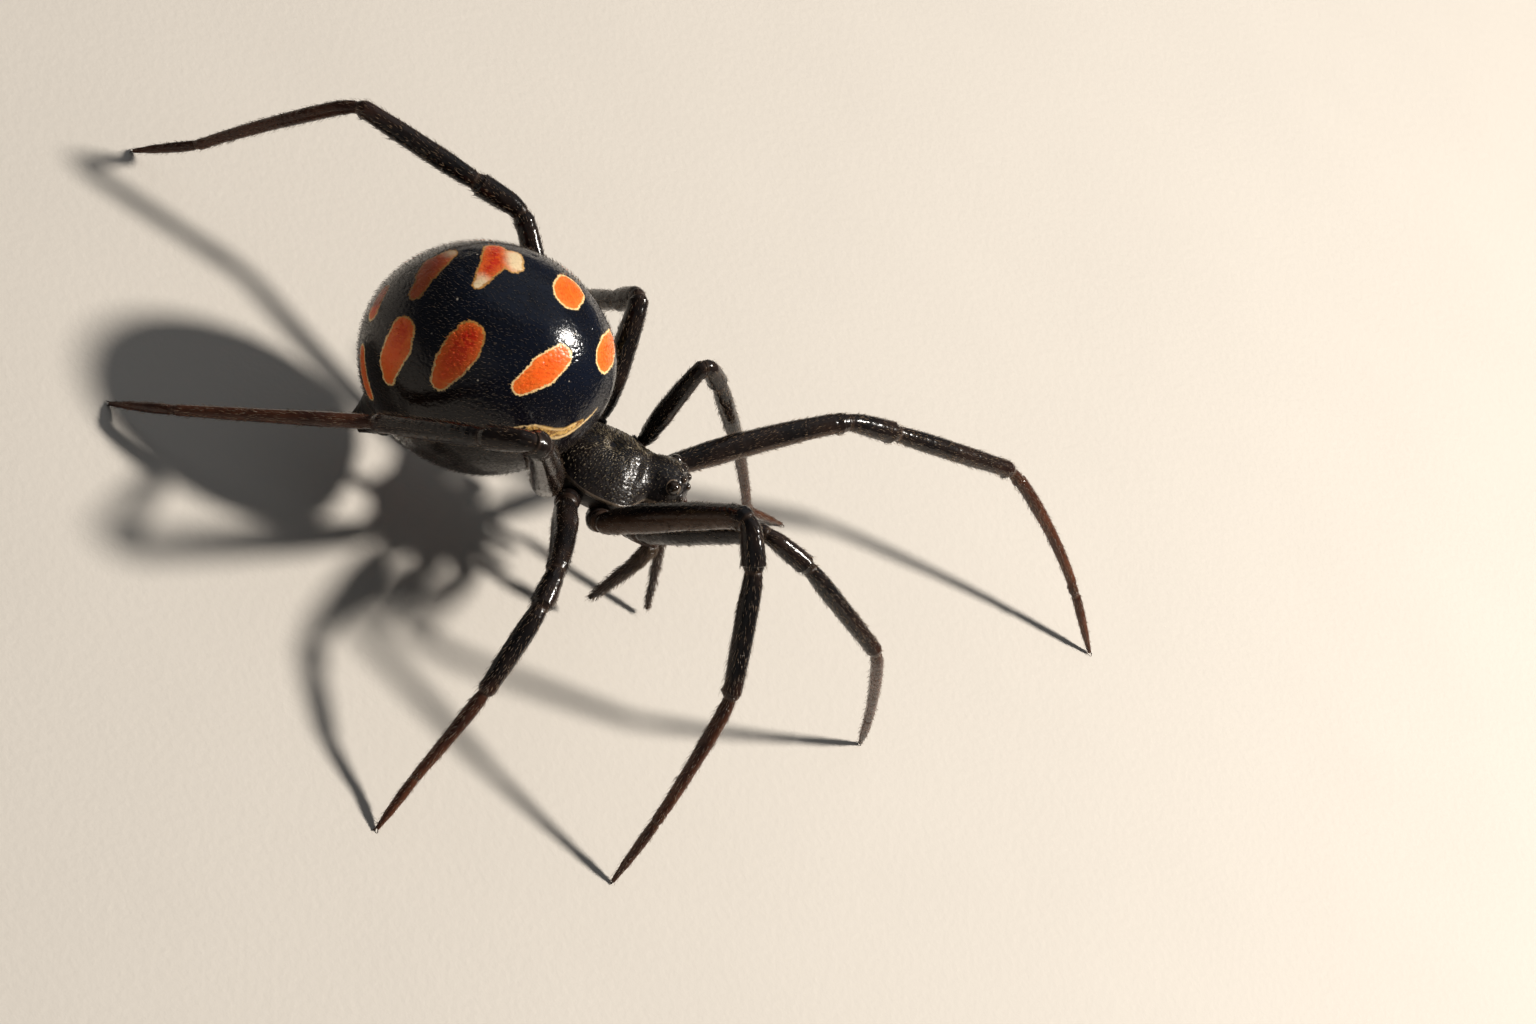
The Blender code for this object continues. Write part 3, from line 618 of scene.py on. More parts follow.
# Legs: the same joints as the solids, with finer forms
legs = {
    "lengths": {1: (7.4, 2.4, 6.2, 7.4, 3.2), 2: (5.9, 1.9, 4.5, 5.5, 2.9), 3: (4.9, 1.7, 3.6, 3.8, 2.3),
                4: (7.7, 2.1, 5.1, 7.1, 2.7)},
    "hips": {
        "l1": (2.01, 1.75, -0.87), "l2": (1.38, 2.59, -0.4), "l3": (-0.45, 2.86, -0.4), "l4": (-1.85, 2.22, -0.58),
        "r1": (1.8, -1.85, -0.92), "r2": (0.11, -2.51, -0.75), "r3": (-1.31, -2.44, -0.55), "r4": (-2.15, -1.99, -0.61),
    },
    "roots": {1: (36.0, -1.1), 2: (70.0, -1.05), 3: (106.0, -1.0), 4: (147.0, -1.0)},
    # turn, lean, swing past the knee and rises of the five articles, in degrees
    "pose": {
        "l1": (18, -33, 11, (28, -9, -11, -43, -54)), "l2": (34, -7, -2, (89, -40, -48, -52, -22)),
        "l3": (105, 0, 0, (46, -63, -54, -41, -40)), "l4": (135, -1, 38, (29, -2, -1, -60, -50)),
        "r1": (0, -24, 8, (69, -13, -33, -65, -69)), "r2": (82, 22, -45, (68, -34, -50, -71, -76)),
        "r3": (100, 10, -7, (19, -16, -36, -52, -45)), "r4": (186, 38, -40, (70, -66, -81, -48, -67)),
    },
    # scales of the femur's and the other articles' lengths, then of their thickness, and the metatarsus's bow
    "build": {
        "l1": (1.11, 1.06, 0.88, 0.93, 0.03), "l2": (0.79, 0.98, 0.72, 0.8, 0.01),
        "l3": (0.99, 1.0, 0.9, 0.95, 0.01), "l4": (1.0, 1.0, 0.88, 1.0, 0.015),
        "r1": (0.88, 0.9, 0.92, 0.87, 0.01), "r2": (1.22, 1.03, 1.0, 0.97, 0.01),
        "r3": (1.02, 0.99, 0.9, 0.97, 0.01), "r4": (1.14, 1.01, 1.15, 1.03, 0.01),
    },
    "corner": 0.62, "oval": 0.93, "thighBow": 0.02,
    "sternum": (-0.45, 3.4, 2.3), "gap": 0.3,
    # radius along each article, with its cuffs and necks
    "forms": (
        ((0.0, 0.3), (0.12, 0.42), (0.45, 0.5), (0.7, 0.5), (0.8, 0.46), (0.84, 0.37), (0.9, 0.44), (1.0, 0.4)),
        ((0.0, 0.33), (0.03, 0.37), (0.05, 0.42), (0.13, 0.5), (0.34, 0.57), (0.62, 0.53), (0.86, 0.47), (0.93, 0.465),
         (0.955, 0.48), (0.968, 0.44), (1.0, 0.36)),
        ((0.0, 0.35), (0.1, 0.37), (0.3, 0.42), (0.6, 0.455), (0.8, 0.46), (0.87, 0.47), (0.9, 0.4), (1.0, 0.33)),
        ((0.0, 0.33), (0.04, 0.35), (0.1, 0.38), (0.25, 0.41), (0.6, 0.4), (0.88, 0.36), (0.94, 0.365), (0.965, 0.33),
         (1.0, 0.24)),
        ((0.0, 0.23), (0.03, 0.25), (0.08, 0.28), (0.25, 0.285), (0.6, 0.25), (0.93, 0.215), (0.97, 0.22), (0.985, 0.19),
         (1.0, 0.17)),
        ((0.0, 0.17), (0.05, 0.2), (0.3, 0.205), (0.65, 0.17), (0.9, 0.11), (1.0, 0.08)),
    ),
    "sides": 26, "hairs": 2300,
    "clawLength": 0.2, "clawRadius": 0.024,
}


def legBones(leg):
    # joints and the plane of bending of each article, in the part's frame
    turn, lean, swing, rises = legs["pose"][leg]
    thigh, shin = legs["build"][leg][:2]
    hand = 1.0 if leg[0] == "l" else -1.0
    around, height = legs["roots"][int(leg[1])]
    middle, length, width = legs["sternum"]
    root = Vector((middle + cos(radians(around)) * (length * 0.5 + legs["gap"]),
                   hand * sin(radians(around)) * (width * 0.5 + legs["gap"]), height))
    joints = [bodyMatrix @ root, bodyMatrix @ Vector(legs["hips"][leg])]
    normals = []
    tilt = radians(lean)
    for index, rise in enumerate(rises):
        way = radians(turn + (swing if index else 0.0))
        ahead = Vector((cos(way), hand * sin(way), 0.0))
        aside = Vector((-sin(way), hand * cos(way), 0.0))
        upward = Vector((0.0, 0.0, cos(tilt))) - aside * sin(tilt)
        step = ahead * cos(radians(rise)) + upward * sin(radians(rise))
        joints.append(joints[-1] + step * legs["lengths"][int(leg[1])][index] * (shin if index else thigh))
        normals.append(ahead.cross(upward))
    ankle = joints[4]
    reach = ankle.z / (ankle.z - joints[6].z)
    for index in (5, 6):
        joints[index] = ankle + (joints[index] - ankle) * reach
    return joints, [normals[0]] + normals


def legTrack(leg):
    # the middle line of a leg as rows: centre, direction, side, radius, article and share, distance to a joint
    joints, normals = legBones(leg)
    girth, slim, shinBow = legs["build"][leg][2:]
    corner = legs["corner"]
    foot = (joints[6] - joints[5]).normalized()
    joints[6] = joints[6] - foot * (0.1 / max(0.2, -foot.z))
    rows = []
    for index in range(6):
        start, end = joints[index], joints[index + 1]
        along = (end - start).normalized()
        length = (end - start).length
        before = (start - joints[index - 1]).normalized() if index else along
        after = (joints[index + 2] - end).normalized() if index < 5 else along
        bow = {1: legs["thighBow"], 4: shinBow}.get(index, 0.0) * length
        lift = normals[index].cross(along)
        lift = -lift if lift.z < 0.0 else lift
        near = corner / length if index else 0.0
        far = 1.0 - corner / length if index < 5 else 1.0
        steps = max(12, int(length / 0.11))
        shares = sorted({round(value, 5) for value in
                         [step / steps for step in range(steps + 1)]
                         + [share + offset for share, radius in legs["forms"][index] for offset in (-0.004, 0.0, 0.004)]
                         if 0.0 <= value <= 1.0})
        for share in shares:
            if share < near:
                part = 0.5 + 0.5 * share / near
                centre = start - before * corner * (1.0 - part) ** 2 + along * corner * part ** 2
                heading = (before * (1.0 - part) + along * part).normalized()
                plane = normals[index - 1].lerp(normals[index], part)
            elif share > far:
                part = 0.5 * (share - far) / (1.0 - far)
                centre = end - along * corner * (1.0 - part) ** 2 + after * corner * part ** 2
                heading = (along * (1.0 - part) + after * part).normalized()
                plane = normals[index].lerp(normals[min(5, index + 1)], part)
            else:
                centre = start + along * (length * share) + lift * (bow * 4.0 * share * (1.0 - share))
                heading = along
                plane = normals[index]
            radius = readProfile(legs["forms"][index], share) * (1.0, girth, slim, slim, slim, slim)[index]
            apart = min(share if index else 1.0, (1.0 - share) if index < 5 else 1.0) * length
            if index == 5:
                apart = max(apart, share * length)
            side = (plane - heading * plane.dot(heading)).normalized()
            rows.append((centre, heading, side, side.cross(heading), radius, index + min(share, 0.9999), apart))
    return rows


def heelBulge(place):
    # extra depth under the end of a tibia and a patella
    index, share = int(place), place - int(place)
    if index == 3:
        return 0.07 * exp(-((share - 0.95) / 0.025) ** 2)
    if index == 2:
        return 0.03 * exp(-((share - 0.82) / 0.07) ** 2)
    return 0.0


def legSkin(rows, sides):
    # arrays of ring points and of how far each lies towards the back or belly side of the leg
    angles = 2.0 * pi * (np.arange(sides) + 0.5) / sides
    centres, headings, side, back = (np.array([row[key] for row in rows]) for key in range(4))
    radius = np.array([row[4] for row in rows])
    bulge = np.array([heelBulge(row[5]) for row in rows])
    upper = np.sin(angles)[None, :]
    depth = radius[:, None] + bulge[:, None] * np.maximum(0.0, -upper) ** 2
    flat = centres[:, None] + side[:, None] * (radius[:, None] * legs["oval"] * np.cos(angles))[..., None]
    return flat + back[:, None] * (depth * upper)[..., None], np.broadcast_to(upper, depth.shape)


def legMaterial():
    graph = Graph("legShell", Roughness=0.28, Coat_Roughness=0.12, Specular_IOR_Level=0.22)
    place, neck, under = graph.held("place"), graph.held("neck"), graph.held("under")
    patch = graph.noise(1.7, 3.0)
    brown = place.ease(3.75, 4.25)
    base = graph.blend(patch.ease(0.35, 0.7), colour(0.006, 0.005, 0.005), colour(0.02, 0.012, 0.009))
    foot = graph.blend(patch.ease(0.3, 0.7), colour(0.035, 0.013, 0.008), colour(0.09, 0.032, 0.016))
    base = graph.blend(brown, base, foot)
    thigh = place.ease(0.9, 1.1) * (1.0 - place.ease(1.9, 2.05))
    base = graph.blend(under.ease(0.0, 0.75) * (thigh * 0.45 + 0.15), base, colour(0.09, 0.043, 0.021))
    knee = neck.ease(0.35, 0.95)
    base = graph.blend(knee * (0.2 + under.ease(-0.3, 0.8) * 0.5), base, colour(0.1, 0.055, 0.032))
    graph.give("Base Color", base)
    graph.give("Roughness", graph.noise(0.35, 3.0) * 0.16 + knee * 0.15 + 0.1)
    graph.give("Coat Weight", 0.08 - knee * 0.08)
    ripple = graph.noise(0.16, 3.0, 0.6)
    pores = graph.cells(0.19)
    graph.give("Normal", graph.bump(ripple * 0.4 - pores * pores, 0.013, graph.bump(graph.noise(0.5, 1.0), 0.02)))
    return graph.material


def hairMaterial(name, dark, light):
    graph = Graph(name, Roughness=0.32, Specular_IOR_Level=0.5)
    tip, tone = graph.held("tip"), graph.held("tone")
    # tips lighter: partly the hairs' own golden colour, partly a painted glint of light on them
    graph.give("Base Color", graph.blend(tip * 0.6 + tone * tone * 0.4, dark, light))
    return graph.material


def makeLeg(leg, material, hair):
    rows = legTrack(leg)
    skin, upper = legSkin(rows, legs["sides"])
    values = {
        "place": [row[5] for row in rows],
        "neck": [exp(-(row[6] / 0.12) ** 2) if row[5] > 0.5 else 0.0 for row in rows],
        "under": (-upper).tolist(),
    }
    bm = bmesh.new()
    loft(bm, skin.tolist(), values)
    nodes = ["leg_%s_%s" % (leg, part) for part in ("coxa", "femur", "tibia", "foot")]
    finishPiece("leg_" + leg, bm, material, nodes, merge=False)
    makeClaws(leg, rows[-1])
    makeLegHairs(leg, rows, skin, upper, hair)


def makeClaws(leg, row):
    # a pair of hooked claws that carry the tip of the leg on the floor
    centre, heading, side, back, radius = row[:5]
    bm = bmesh.new()
    for hand in (-1.0, 1.0):
        start = centre + side * (hand * radius * 0.45) - heading * 0.03
        out = (heading + side * (hand * 0.45) + back * 0.35).normalized()
        bend = start + out * legs["clawLength"] * 0.55
        tip = bend + (heading * 0.5 + side * (hand * 0.2) - back * 0.25).normalized() * legs["clawLength"] * 0.5
        tip.z = 0.008
        bend.z = max(bend.z, 0.045)
        radii = (legs["clawRadius"], legs["clawRadius"] * 0.85, legs["clawRadius"] * 0.25)
        loft(bm, limbRings((start, bend, tip), radii, 10, 6, side=Vector((0.3, 0.9, 0.1))))
    finishPiece("claws_" + leg, bm, clawShell, merge=False)


def makeLegHairs(leg, rows, skin, upper, material):
    # fine hairs lie along the leg, longer below and towards its end
    sides = legs["sides"]
    centres = np.array([row[0] for row in rows])
    run = np.concatenate([[0.0], np.cumsum(np.linalg.norm(np.diff(centres, axis=0), axis=1))])
    place = np.array([row[5] for row in rows])
    radius = np.array([row[4] for row in rows])
    weight = (radius + 0.12) * np.clip((place - 0.8) * 3.0, 0.15, 1.0)
    grown = np.concatenate([[0.0], np.cumsum(np.diff(run) * weight[1:])])
    count = int(legs["hairs"] * run[-1] / 24.0)
    at = np.interp(rng.random(count) * grown[-1], grown, np.arange(len(run)))
    low = np.minimum(at.astype(int), len(run) - 2)
    part = at - low
    spin = rng.random(count) * sides
    first = spin.astype(int) % sides
    turn = spin - spin.astype(int)
    second = (first + 1) % sides

    def surface(rowIndex):
        return skin[rowIndex, first] * (1.0 - turn)[:, None] + skin[rowIndex, second] * turn[:, None]

    roots = surface(low) * (1.0 - part)[:, None] + surface(low + 1) * part[:, None]
    middle = centres[low] * (1.0 - part)[:, None] + centres[low + 1] * part[:, None]
    headings = np.array([row[1] for row in rows])[low]
    outward = roots - middle
    outward = unit(outward - (outward * headings).sum(1, keepdims=True) * headings)
    where = place[low]
    below = -(upper[low, first] * (1.0 - turn) + upper[low, second] * turn)
    lengths = rng.uniform(0.11, 0.26, count) * (1.0 + 0.35 * np.maximum(0.0, below)) * np.interp(
        where, (0.0, 1.0, 3.0, 4.0, 5.0, 6.0), (0.7, 0.75, 1.0, 1.1, 1.0, 0.75))
    lift = rng.uniform(0.18, 0.65, count)[:, None]
    ways = headings + outward * lift + rng.normal(0.0, 0.1, (count, 3))
    charts = np.stack([run[low] / run[-1], spin / sides], 1)
    growHairs("leg_%s_hairs" % leg, roots, ways, outward, lengths, np.full(count, 0.0064), charts,
              material)


# Shield mesh with its pit, furrows and rim
def furrowDent(x, y):
    depth = 0.0
    away = sqrt((x - shield["pit"]) ** 2 + y * y)
    if away > 0.15:
        bearing = np.degrees(np.arctan2(abs(y), x - shield["pit"]))
        for way in shield["furrows"]:
            depth += exp(-((bearing - way) * away * 0.0175 / 0.11) ** 2)
    return shield["furrowDepth"] * depth * min(1.0, away / 0.5)


def shieldSkin(x, angle):
    point = shieldPoint(x, angle)
    point.z -= furrowDent(point.x, point.y) * sin(angle)
    for name in eyes:
        for side in "lr":
            centre = eyeCentre(name, side)
            radius = eyes[name][2]
            away = (point - centre).length / (radius * 1.25)
            if away < 3.0:
                out = (centre - Vector((centre.x - 0.5, 0.0, centre.z - 0.6))).normalized()
                point += out * 0.05 * exp(-((away - 0.9) / 0.35) ** 2)
    return point


def makeShield():
    stations, over = 120, 84
    rings = []
    for index in range(stations):
        share = index / (stations - 1)
        x = -shield["back"] + 0.06 + (shield["back"] + shield["front"] - 0.08) * (0.5 - 0.5 * cos(pi * share))
        low = shieldMargin(x) - shield["marginThickness"]
        width = shieldHalfWidth(x)
        upper = [shieldSkin(x, pi * step / over) for step in range(over + 1)]
        rim = [Vector((x, -width * 1.012, low + 0.15)), Vector((x, -width * 1.015, low + 0.09)),
               Vector((x, -width * 0.985, low + 0.02)), Vector((x, -width * 0.9, low))]
        under = [Vector((x, width * part, low - 0.02)) for part in (-0.6, -0.2, 0.2, 0.6)]
        ring = upper + rim + under + [Vector((x, -point.y, point.z)) for point in reversed(rim)]
        rings.append([bodyMatrix @ point for point in ring])
    for end, move in ((0, -0.06), (-1, 0.05)):
        middle = sum(rings[end], Vector()) / len(rings[end])
        push = bodyMatrix.to_3x3() @ Vector((move, 0.0, 0.0))
        tight = [middle + (point - middle) * 0.55 + push for point in rings[end]]
        if end:
            rings.append(tight)
        else:
            rings.insert(0, tight)
    bm = bmesh.new()
    # how close each ring point lies to the margin, for the painted rim highlight
    edge = [1.0, 0.8, 0.2] + [0.0] * (over - 5) + [0.2, 0.8, 1.0]
    edge += [1.0, 0.9, 0.3, 0.0] + [0.0] * 4 + [0.0, 0.3, 0.9, 1.0]
    loft(bm, rings, {"rim": [edge] * len(rings)})
    graph = Graph("shieldShell", Roughness=0.36, Coat_Roughness=0.3, Specular_IOR_Level=0.3)
    patch = graph.noise(0.9, 4.0)
    base = graph.blend(patch.ease(0.35, 0.75), colour(0.005, 0.004, 0.0045), colour(0.015, 0.011, 0.009))
    base = graph.blend(graph.noise(0.1, 2.0).ease(0.5, 0.75) * 0.4, base, colour(0.04, 0.03, 0.024))
    # pale colour along the margin: a painted highlight on the shield's rim
    base = graph.blend(graph.held("rim") * 0.6, base, colour(0.16, 0.12, 0.085))
    graph.give("Base Color", base)
    grain = graph.cells(0.1)
    graph.give("Roughness", graph.noise(0.3, 3.0) * 0.22 + 0.16)
    relief = graph.bump(graph.noise(0.4, 2.0), 0.04)
    graph.give("Normal", graph.bump(graph.noise(0.07, 2.0) * 0.5 - grain * grain, 0.009, relief))
    return finishPiece("carapace", bm, graph.material, ["carapace"], merge=False)


def shieldNormal(x, angle):
    step = 1e-3
    here = shieldPoint(x, angle)
    across = shieldPoint(x, min(pi - step, angle + step)) - here
    along = shieldPoint(x + step, angle) - here
    return along.cross(across).normalized()


def makeShieldHairs(material):
    # bristles in curved rows that fan out from the pit, laid towards the head
    roots, ways, outs, charts = [], [], [], []
    for row in range(shield["hairRows"]):
        bearing = 2.0 * pi * (row + 0.5) / shield["hairRows"]
        for step in range(2, 34):
            away = step * shield["hairStep"] + rng.uniform(-0.045, 0.045)
            if away < 0.7 and row % 2:
                continue
            turn = bearing - 0.16 * away * sin(bearing) + rng.normal(0.0, 0.02)
            x, y = shield["pit"] + away * cos(turn), away * sin(turn)
            if not -2.0 < x < 2.7 or abs(y) > shieldHalfWidth(x) * 0.985:
                continue
            angle = np.arccos(y / shieldHalfWidth(x))
            normal = shieldNormal(x, angle)
            if min((shieldPoint(x, angle) - eyeCentre(name, side)).length - eyes[name][2]
                   for name in eyes for side in "lr") < 0.1:
                continue
            inward = 1.0 - exp(-(y / 0.55) ** 2)
            heading = Vector((1.0 - 0.55 * inward, -inward if y > 0.0 else inward, 0.0))
            heading += Vector(rng.normal(0.0, 0.16, 3))
            heading = (heading - normal * heading.dot(normal)).normalized()
            roots.append(shieldPoint(x, angle))
            outs.append(normal)
            ways.append(heading + normal * rng.uniform(0.15, 0.5))
            charts.append(((x + 3.0) / 6.0, (y + 3.0) / 6.0))
    turn = np.array(bodyMatrix.to_3x3())
    count = len(roots)
    growHairs("carapace_hairs", bodyRows(np.array(roots)), np.array(ways) @ turn.T, np.array(outs) @ turn.T,
              rng.uniform(0.18, 0.34, count), rng.uniform(0.014, 0.022, count), np.array(charts), material)


def makeEyeRings(material):
    # a raised ring round each eye
    bm = bmesh.new()
    for name, (x, angle, radius) in eyes.items():
        for side in "lr":
            seatAngle = pi * angle if side == "l" else pi * (1.0 - angle)
            normal = bodyMatrix.to_3x3() @ shieldNormal(x, seatAngle)
            before = set(bm.verts)
            thick = 0.026 + radius * 0.08
            turn = Matrix.Translation((radius + thick * 0.6, 0.0, 0.0)) @ Matrix.Rotation(pi / 2.0, 4, "X")
            hoop = bmesh.ops.create_circle(bm, segments=12, radius=thick, matrix=turn)["verts"]
            edges = list({item for vert in hoop for item in vert.link_edges})
            bmesh.ops.spin(bm, geom=hoop + edges, cent=(0, 0, 0), axis=(0, 0, 1), angle=2.0 * pi, steps=40, use_merge=True)
            fresh = [vert for vert in bm.verts if vert not in before]
            place = Matrix.Translation(bodyMatrix @ eyeCentre(name, side) + normal * radius * 0.12)
            bmesh.ops.transform(bm, matrix=place @ normal.to_track_quat("Z", "Y").to_matrix().to_4x4(), verts=fresh)
    finishPiece("eye_rings", bm, material)


def makeEyes():
    graph = Graph("eyeLens", Roughness=0.06, Coat_Weight=0.4, Coat_Roughness=0.03, Specular_IOR_Level=0.4)
    depth = graph.noise(0.2, 1.0)
    graph.give("Base Color", graph.blend(depth.ease(0.35, 0.7), colour(0.006, 0.004, 0.003), colour(0.03, 0.018, 0.01)))
    for name, (x, angle, radius) in eyes.items():
        for side in "lr":
            bm = bmesh.new()
            centre = bodyMatrix @ eyeCentre(name, side)
            bmesh.ops.create_uvsphere(bm, u_segments=36, v_segments=24, radius=radius, matrix=Matrix.Translation(centre))
            label = "eye_%s_%s" % (name, side)
            finishPiece(label, bm, graph.material, [label])


makeShield()
# shield bristles: golden tips, partly their own colour and partly a painted highlight
makeShieldHairs(hairMaterial("shieldHair", colour(0.09, 0.065, 0.04), colour(0.85, 0.7, 0.47)))
makeEyes()
print("head and eyes made")


# Soft limbs that are lofted through a few points: jaws, feelers, silk cones
def limbRings(points, radii, sides=20, steps=12, flat=1.0, side=Vector((0.0, 1.0, 0.0))):
    # a smooth line through the points, with round ends
    points = [Vector(point) for point in points]
    spots, sizes = [], []
    for index in range(len(points) - 1):
        before = points[max(0, index - 1)]
        after = points[min(len(points) - 1, index + 2)]
        for step in range(steps):
            share = step / steps
            a, b = points[index], points[index + 1]
            spots.append(0.5 * ((2.0 * a) + (b - before) * share + (2.0 * before - 5.0 * a + 4.0 * b - after) * share ** 2
                                + (3.0 * a - before - 3.0 * b + after) * share ** 3))
            ease = share * share * (3.0 - 2.0 * share)
            sizes.append(radii[index] + (radii[index + 1] - radii[index]) * ease)
    spots.append(points[-1])
    sizes.append(radii[-1])
    rings = []
    last = len(spots) - 1
    for index, (spot, size) in enumerate(zip(spots, sizes)):
        along = (spots[min(last, index + 1)] - spots[max(0, index - 1)]).normalized()
        across = (side - along * side.dot(along)).normalized()
        upward = across.cross(along)
        if index == 0 or index == last:
            outwards = -along if index == 0 else along
            caps = [(0.94, 0.3), (0.75, 0.62), (0.4, 0.88), (0.1, 0.97)]
            caps = [(1.0, 0.0)] + caps if index else list(reversed(caps)) + [(1.0, 0.0)]
        else:
            outwards, caps = along, [(1.0, 0.0)]
        for shrink, move in caps:
            centre = spot + outwards * size * move * 0.6
            rings.append([centre + across * (size * flat * shrink * cos(2.0 * pi * k / sides))
                          + upward * (size * shrink * sin(2.0 * pi * k / sides)) for k in range(sides)])
    return rings


def makeLimb(name, parts, material, nodes):
    # parts are (points, radii) in the body's frame
    bm = bmesh.new()
    for points, radii in parts:
        rings = limbRings(points, radii)
        loft(bm, [[bodyMatrix @ point for point in ring] for ring in rings])
    return finishPiece(name, bm, material, nodes, merge=False)


mouth = {
    "jawTop": (2.5, 0.46, -0.35), "jawRadii": (0.26, 0.31, 0.3, 0.24, 0.13),
    "fangRadii": (0.1, 0.075, 0.02),
    "maxillaRadii": (0.18, 0.26, 0.24, 0.12),
    "palps": {
        "l": ((1.62, 1.0, -1.7), (3.55, 1.2, -0.95), (3.65, 0.9, -2.9), (4.6, 0.5, -5.75)),
        "r": ((1.62, -1.0, -1.7), (2.78, -1.1, -1.6), (2.66, -1.1, -2.75), (1.95, -1.2, -5.05)),
    },
    "palpRadii": {"l": (0.19, 0.2, 0.19, 0.18, 0.17, 0.06), "r": (0.2, 0.24, 0.24, 0.25, 0.25, 0.06)},
}


def bodyShellMaterial(name, dark, light, rough):
    graph = Graph(name, Roughness=rough, Coat_Roughness=0.25, Specular_IOR_Level=0.3)
    patch = graph.noise(0.7, 3.0)
    graph.give("Base Color", graph.blend(patch.ease(0.3, 0.72), dark, light))
    graph.give("Roughness", graph.noise(0.25, 3.0) * 0.2 + (rough - 0.1))
    graph.give("Normal", graph.bump(graph.cells(0.09) * 0.5 + graph.noise(0.15, 3.0) * 0.5, 0.018))
    return graph.material


def makeMouth(shell):
    x, y, z = mouth["jawTop"]
    for hand, side in ((1.0, "l"), (-1.0, "r")):
        jaw = [(x, hand * y, z), (x + 0.1, hand * y, z - 0.3), (x + 0.1, hand * y, z - 0.7),
               (x + 0.0, hand * (y - 0.03), z - 1.1), (x - 0.1, hand * (y - 0.05), z - 1.32)]
        fang = [(x - 0.08, hand * (y - 0.04), z - 1.3), (x - 0.22, hand * (y - 0.08), z - 1.52),
                (x - 0.42, hand * (y - 0.16), z - 1.6)]
        makeLimb("chelicera_" + side, [(jaw, mouth["jawRadii"]), (fang, mouth["fangRadii"])], shell,
                 ["chelicera_" + side])
        lobe = [(1.55, hand * 0.4, -0.95), (1.56, hand * 0.4, -1.3), (1.6, hand * 0.36, -1.65), (1.62, hand * 0.28, -1.9)]
        makeLimb("maxilla_" + side, [(lobe, mouth["maxillaRadii"])], shell, ["maxilla_" + side])
    makeLimb("labium", [([(1.42, 0.0, -1.0), (1.44, 0.0, -1.35), (1.5, 0.0, -1.62)], (0.2, 0.22, 0.12))], shell,
             [])


def makePalps(shell, hair):
    for side, points in mouth["palps"].items():
        root, elbow, joint, tip = [Vector(point) for point in points]
        radii = mouth["palpRadii"][side]
        knee = elbow.lerp(joint, 0.45)
        parts = [
            ([root, root.lerp(elbow, 0.5), elbow], (radii[0], radii[1], radii[2] * 0.9)),
            ([elbow.lerp(root, 0.03), elbow.lerp(knee, 0.5), knee], (radii[2] * 0.85, radii[2] * 1.05, radii[2] * 0.95)),
            ([knee, knee.lerp(joint, 0.5), joint], (radii[3] * 0.85, radii[3], radii[4] * 0.9)),
            ([joint, joint.lerp(tip, 0.3), joint.lerp(tip, 0.7), tip], (radii[4] * 0.9, radii[4], radii[4] * 0.75, radii[5])),
        ]
        makeLimb("palp_" + side, parts, shell, ["palp_%s_upper" % side, "palp_%s_lower" % side])
        limbHairs("palp_%s_hairs" % side, parts[1:], hair, 620)


def limbHairs(name, parts, material, each):
    roots, ways, outward, charts = [], [], [], []
    for number, (points, radii) in enumerate(parts):
        rings = np.array([[list(point) for point in ring] for ring in limbRings(points, radii)])
        middles = rings.mean(1)
        pick = rng.uniform(4.0, len(rings) - 6.0, each)
        low = pick.astype(int)
        spin = rng.integers(0, rings.shape[1], each)
        mixed = rng.random(each)[:, None]
        root = rings[low, spin] * mixed + rings[low, (spin + 1) % rings.shape[1]] * (1.0 - mixed)
        heading = unit(middles[low + 1] - middles[low - 1])
        away = unit(root - middles[low])
        roots.append(root)
        outward.append(away)
        ways.append(heading + away * rng.uniform(0.25, 0.8, (each, 1)) + rng.normal(0.0, 0.1, (each, 3)))
        charts.append(np.stack([(number + pick / len(rings)) / len(parts), spin / rings.shape[1]], 1))
    turn = np.array(bodyMatrix.to_3x3())
    count = each * len(parts)
    growHairs(name, bodyRows(np.concatenate(roots)), np.concatenate(ways) @ turn.T, np.concatenate(outward) @ turn.T,
              rng.uniform(0.14, 0.3, count), np.full(count, 0.008), np.concatenate(charts), material)


bodyShell = bodyShellMaterial("bodyShell", colour(0.007, 0.006, 0.006), colour(0.03, 0.02, 0.014), 0.36)
palpShell = bodyShellMaterial("palpShell", colour(0.012, 0.007, 0.006), colour(0.05, 0.022, 0.013), 0.34)
clawShell = bodyShellMaterial("clawShell", colour(0.012, 0.006, 0.004), colour(0.05, 0.02, 0.01), 0.25)
legShell = legMaterial()
# leg hair tips lighter, partly their own colour and partly a painted glint
legHair = hairMaterial("legHair", colour(0.02, 0.013, 0.009), colour(0.4, 0.26, 0.15))
for leg in legs["pose"]:
    makeLeg(leg, legShell, legHair)
print("legs made")

# eye rings coloured pale brown, partly their own colour and partly a painted highlight
makeEyeRings(bodyShellMaterial("eyeRimPaleAndPaintedHighlight", colour(0.05, 0.035, 0.025), colour(0.2, 0.14, 0.09), 0.3))
makeMouth(bodyShell)
makePalps(palpShell, hairMaterial("palpHair", colour(0.015, 0.009, 0.006), colour(0.22, 0.14, 0.08)))
print("mouth and feelers made")


# Underside: breast plate, soft flanks, waist and silk cones
under = {"middle": -0.45, "length": 3.4, "width": 2.3}


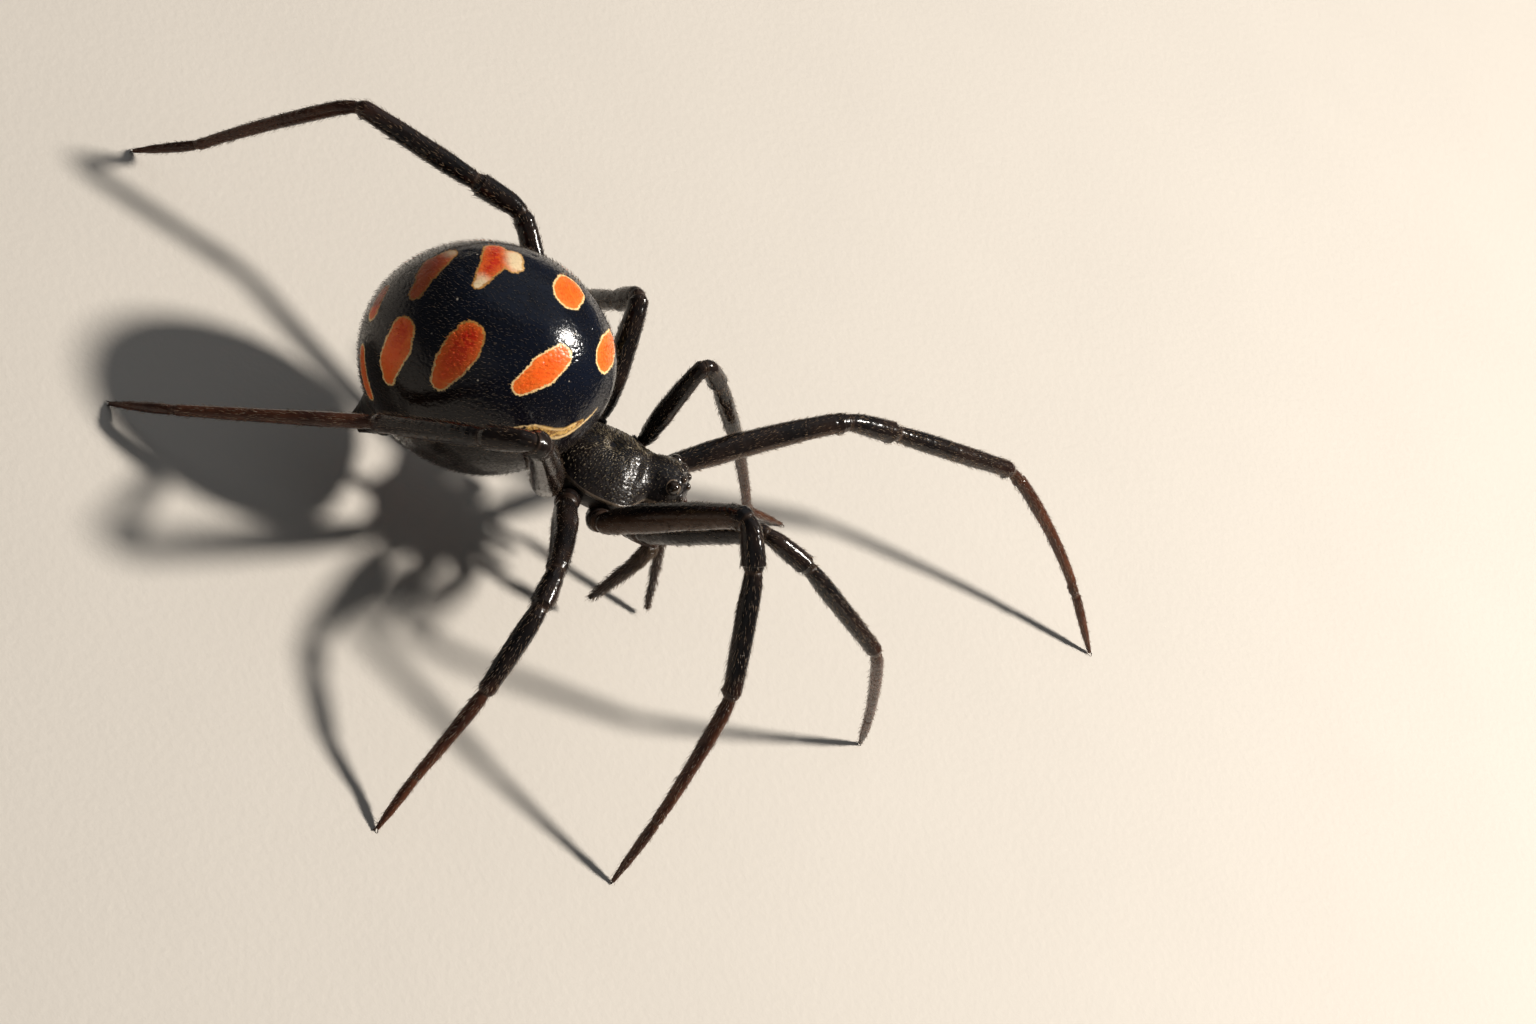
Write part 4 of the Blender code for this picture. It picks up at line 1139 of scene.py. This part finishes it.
def makeUnderside(shell):
    bm = bmesh.new()
    rings = []
    for height, size in ((-0.5, 0.6), (-0.5, 0.86), (-0.62, 0.97), (-0.8, 1.0), (-1.05, 1.0), (-1.2, 0.93), (-1.34, 0.82),
                         (-1.44, 0.62), (-1.5, 0.4), (-1.51, 0.15)):
        ring = []
        for index in range(64):
            angle = 2.0 * pi * index / 64
            narrow = 1.0 - 0.16 * max(0.0, -cos(angle))
            x = under["middle"] + cos(angle) * under["length"] * 0.5 * size
            ring.append(bodyMatrix @ Vector((x, sin(angle) * under["width"] * 0.5 * size * narrow, height)))
        rings.append(ring)
    loft(bm, rings)
    finishPiece("sternum", bm, shell, ["sternum"], merge=False)
    # the soft flank between shield and hips
    bm = bmesh.new()
    rings = []
    for height, size in ((-0.12, 0.95), (-0.22, 0.97), (-0.5, 0.95), (-0.82, 0.88), (-1.05, 0.74)):
        ring = []
        for index in range(96):
            angle = 2.0 * pi * (index + 0.5) / 96
            x = 0.05 + cos(angle) * 2.1
            y = shieldHalfWidth(x) * size * min(1.0, abs(sin(angle)) * 3.0)
            ring.append(bodyMatrix @ Vector((x, y if sin(angle) > 0.0 else -y, height)))
        rings.append(ring)
    loft(bm, rings)
    finishPiece("flanks", bm, shell, [], merge=False)


def makeWaist(shell):
    down = radians(abdomen["waistDown"])
    way = np.array((cos(down), 0.0, -sin(down)))
    end = Vector(globePoints(way[None])[0])
    start = Vector((-shield["back"] + 0.4, 0.0, 0.07))
    makeLimb("pedicel", [([start, start.lerp(end, 0.5), end - Vector(way) * 0.2], (0.36, 0.3, 0.36))], shell,
             ["pedicel"])


def makeSilkCones(shell):
    tip = radians(abdomen["tailDown"])
    tail = Vector((-cos(tip), 0.0, -sin(tip)))
    start = Vector(globePoints(np.array(tail)[None])[0])
    across = Vector((0.0, 1.0, 0.0))
    upward = tail.cross(across)
    parts = [([start - tail * 0.25, start + tail * 0.25, start + tail * 0.55], (0.95, 0.9, 0.7))]
    for index in range(6):
        angle = 2.0 * pi * (index + 0.5) / 6
        outward = across * cos(angle) + upward * sin(angle)
        length = 0.75 if index % 3 else 0.6
        size = length * 0.34
        foot = start + outward * 0.42 + tail * 0.4
        end = foot + tail * length * 0.95 - outward * 0.1
        parts.append(([foot, foot.lerp(end, 0.45), foot.lerp(end, 0.55), end], (size, size * 0.95, size * 0.8, size * 0.45)))
    makeLimb("spinnerets", parts, shell, ["spinnerets"])


makeUnderside(bodyShell)
makeWaist(bodyShell)
makeSilkCones(bodyShell)
print("underside made")
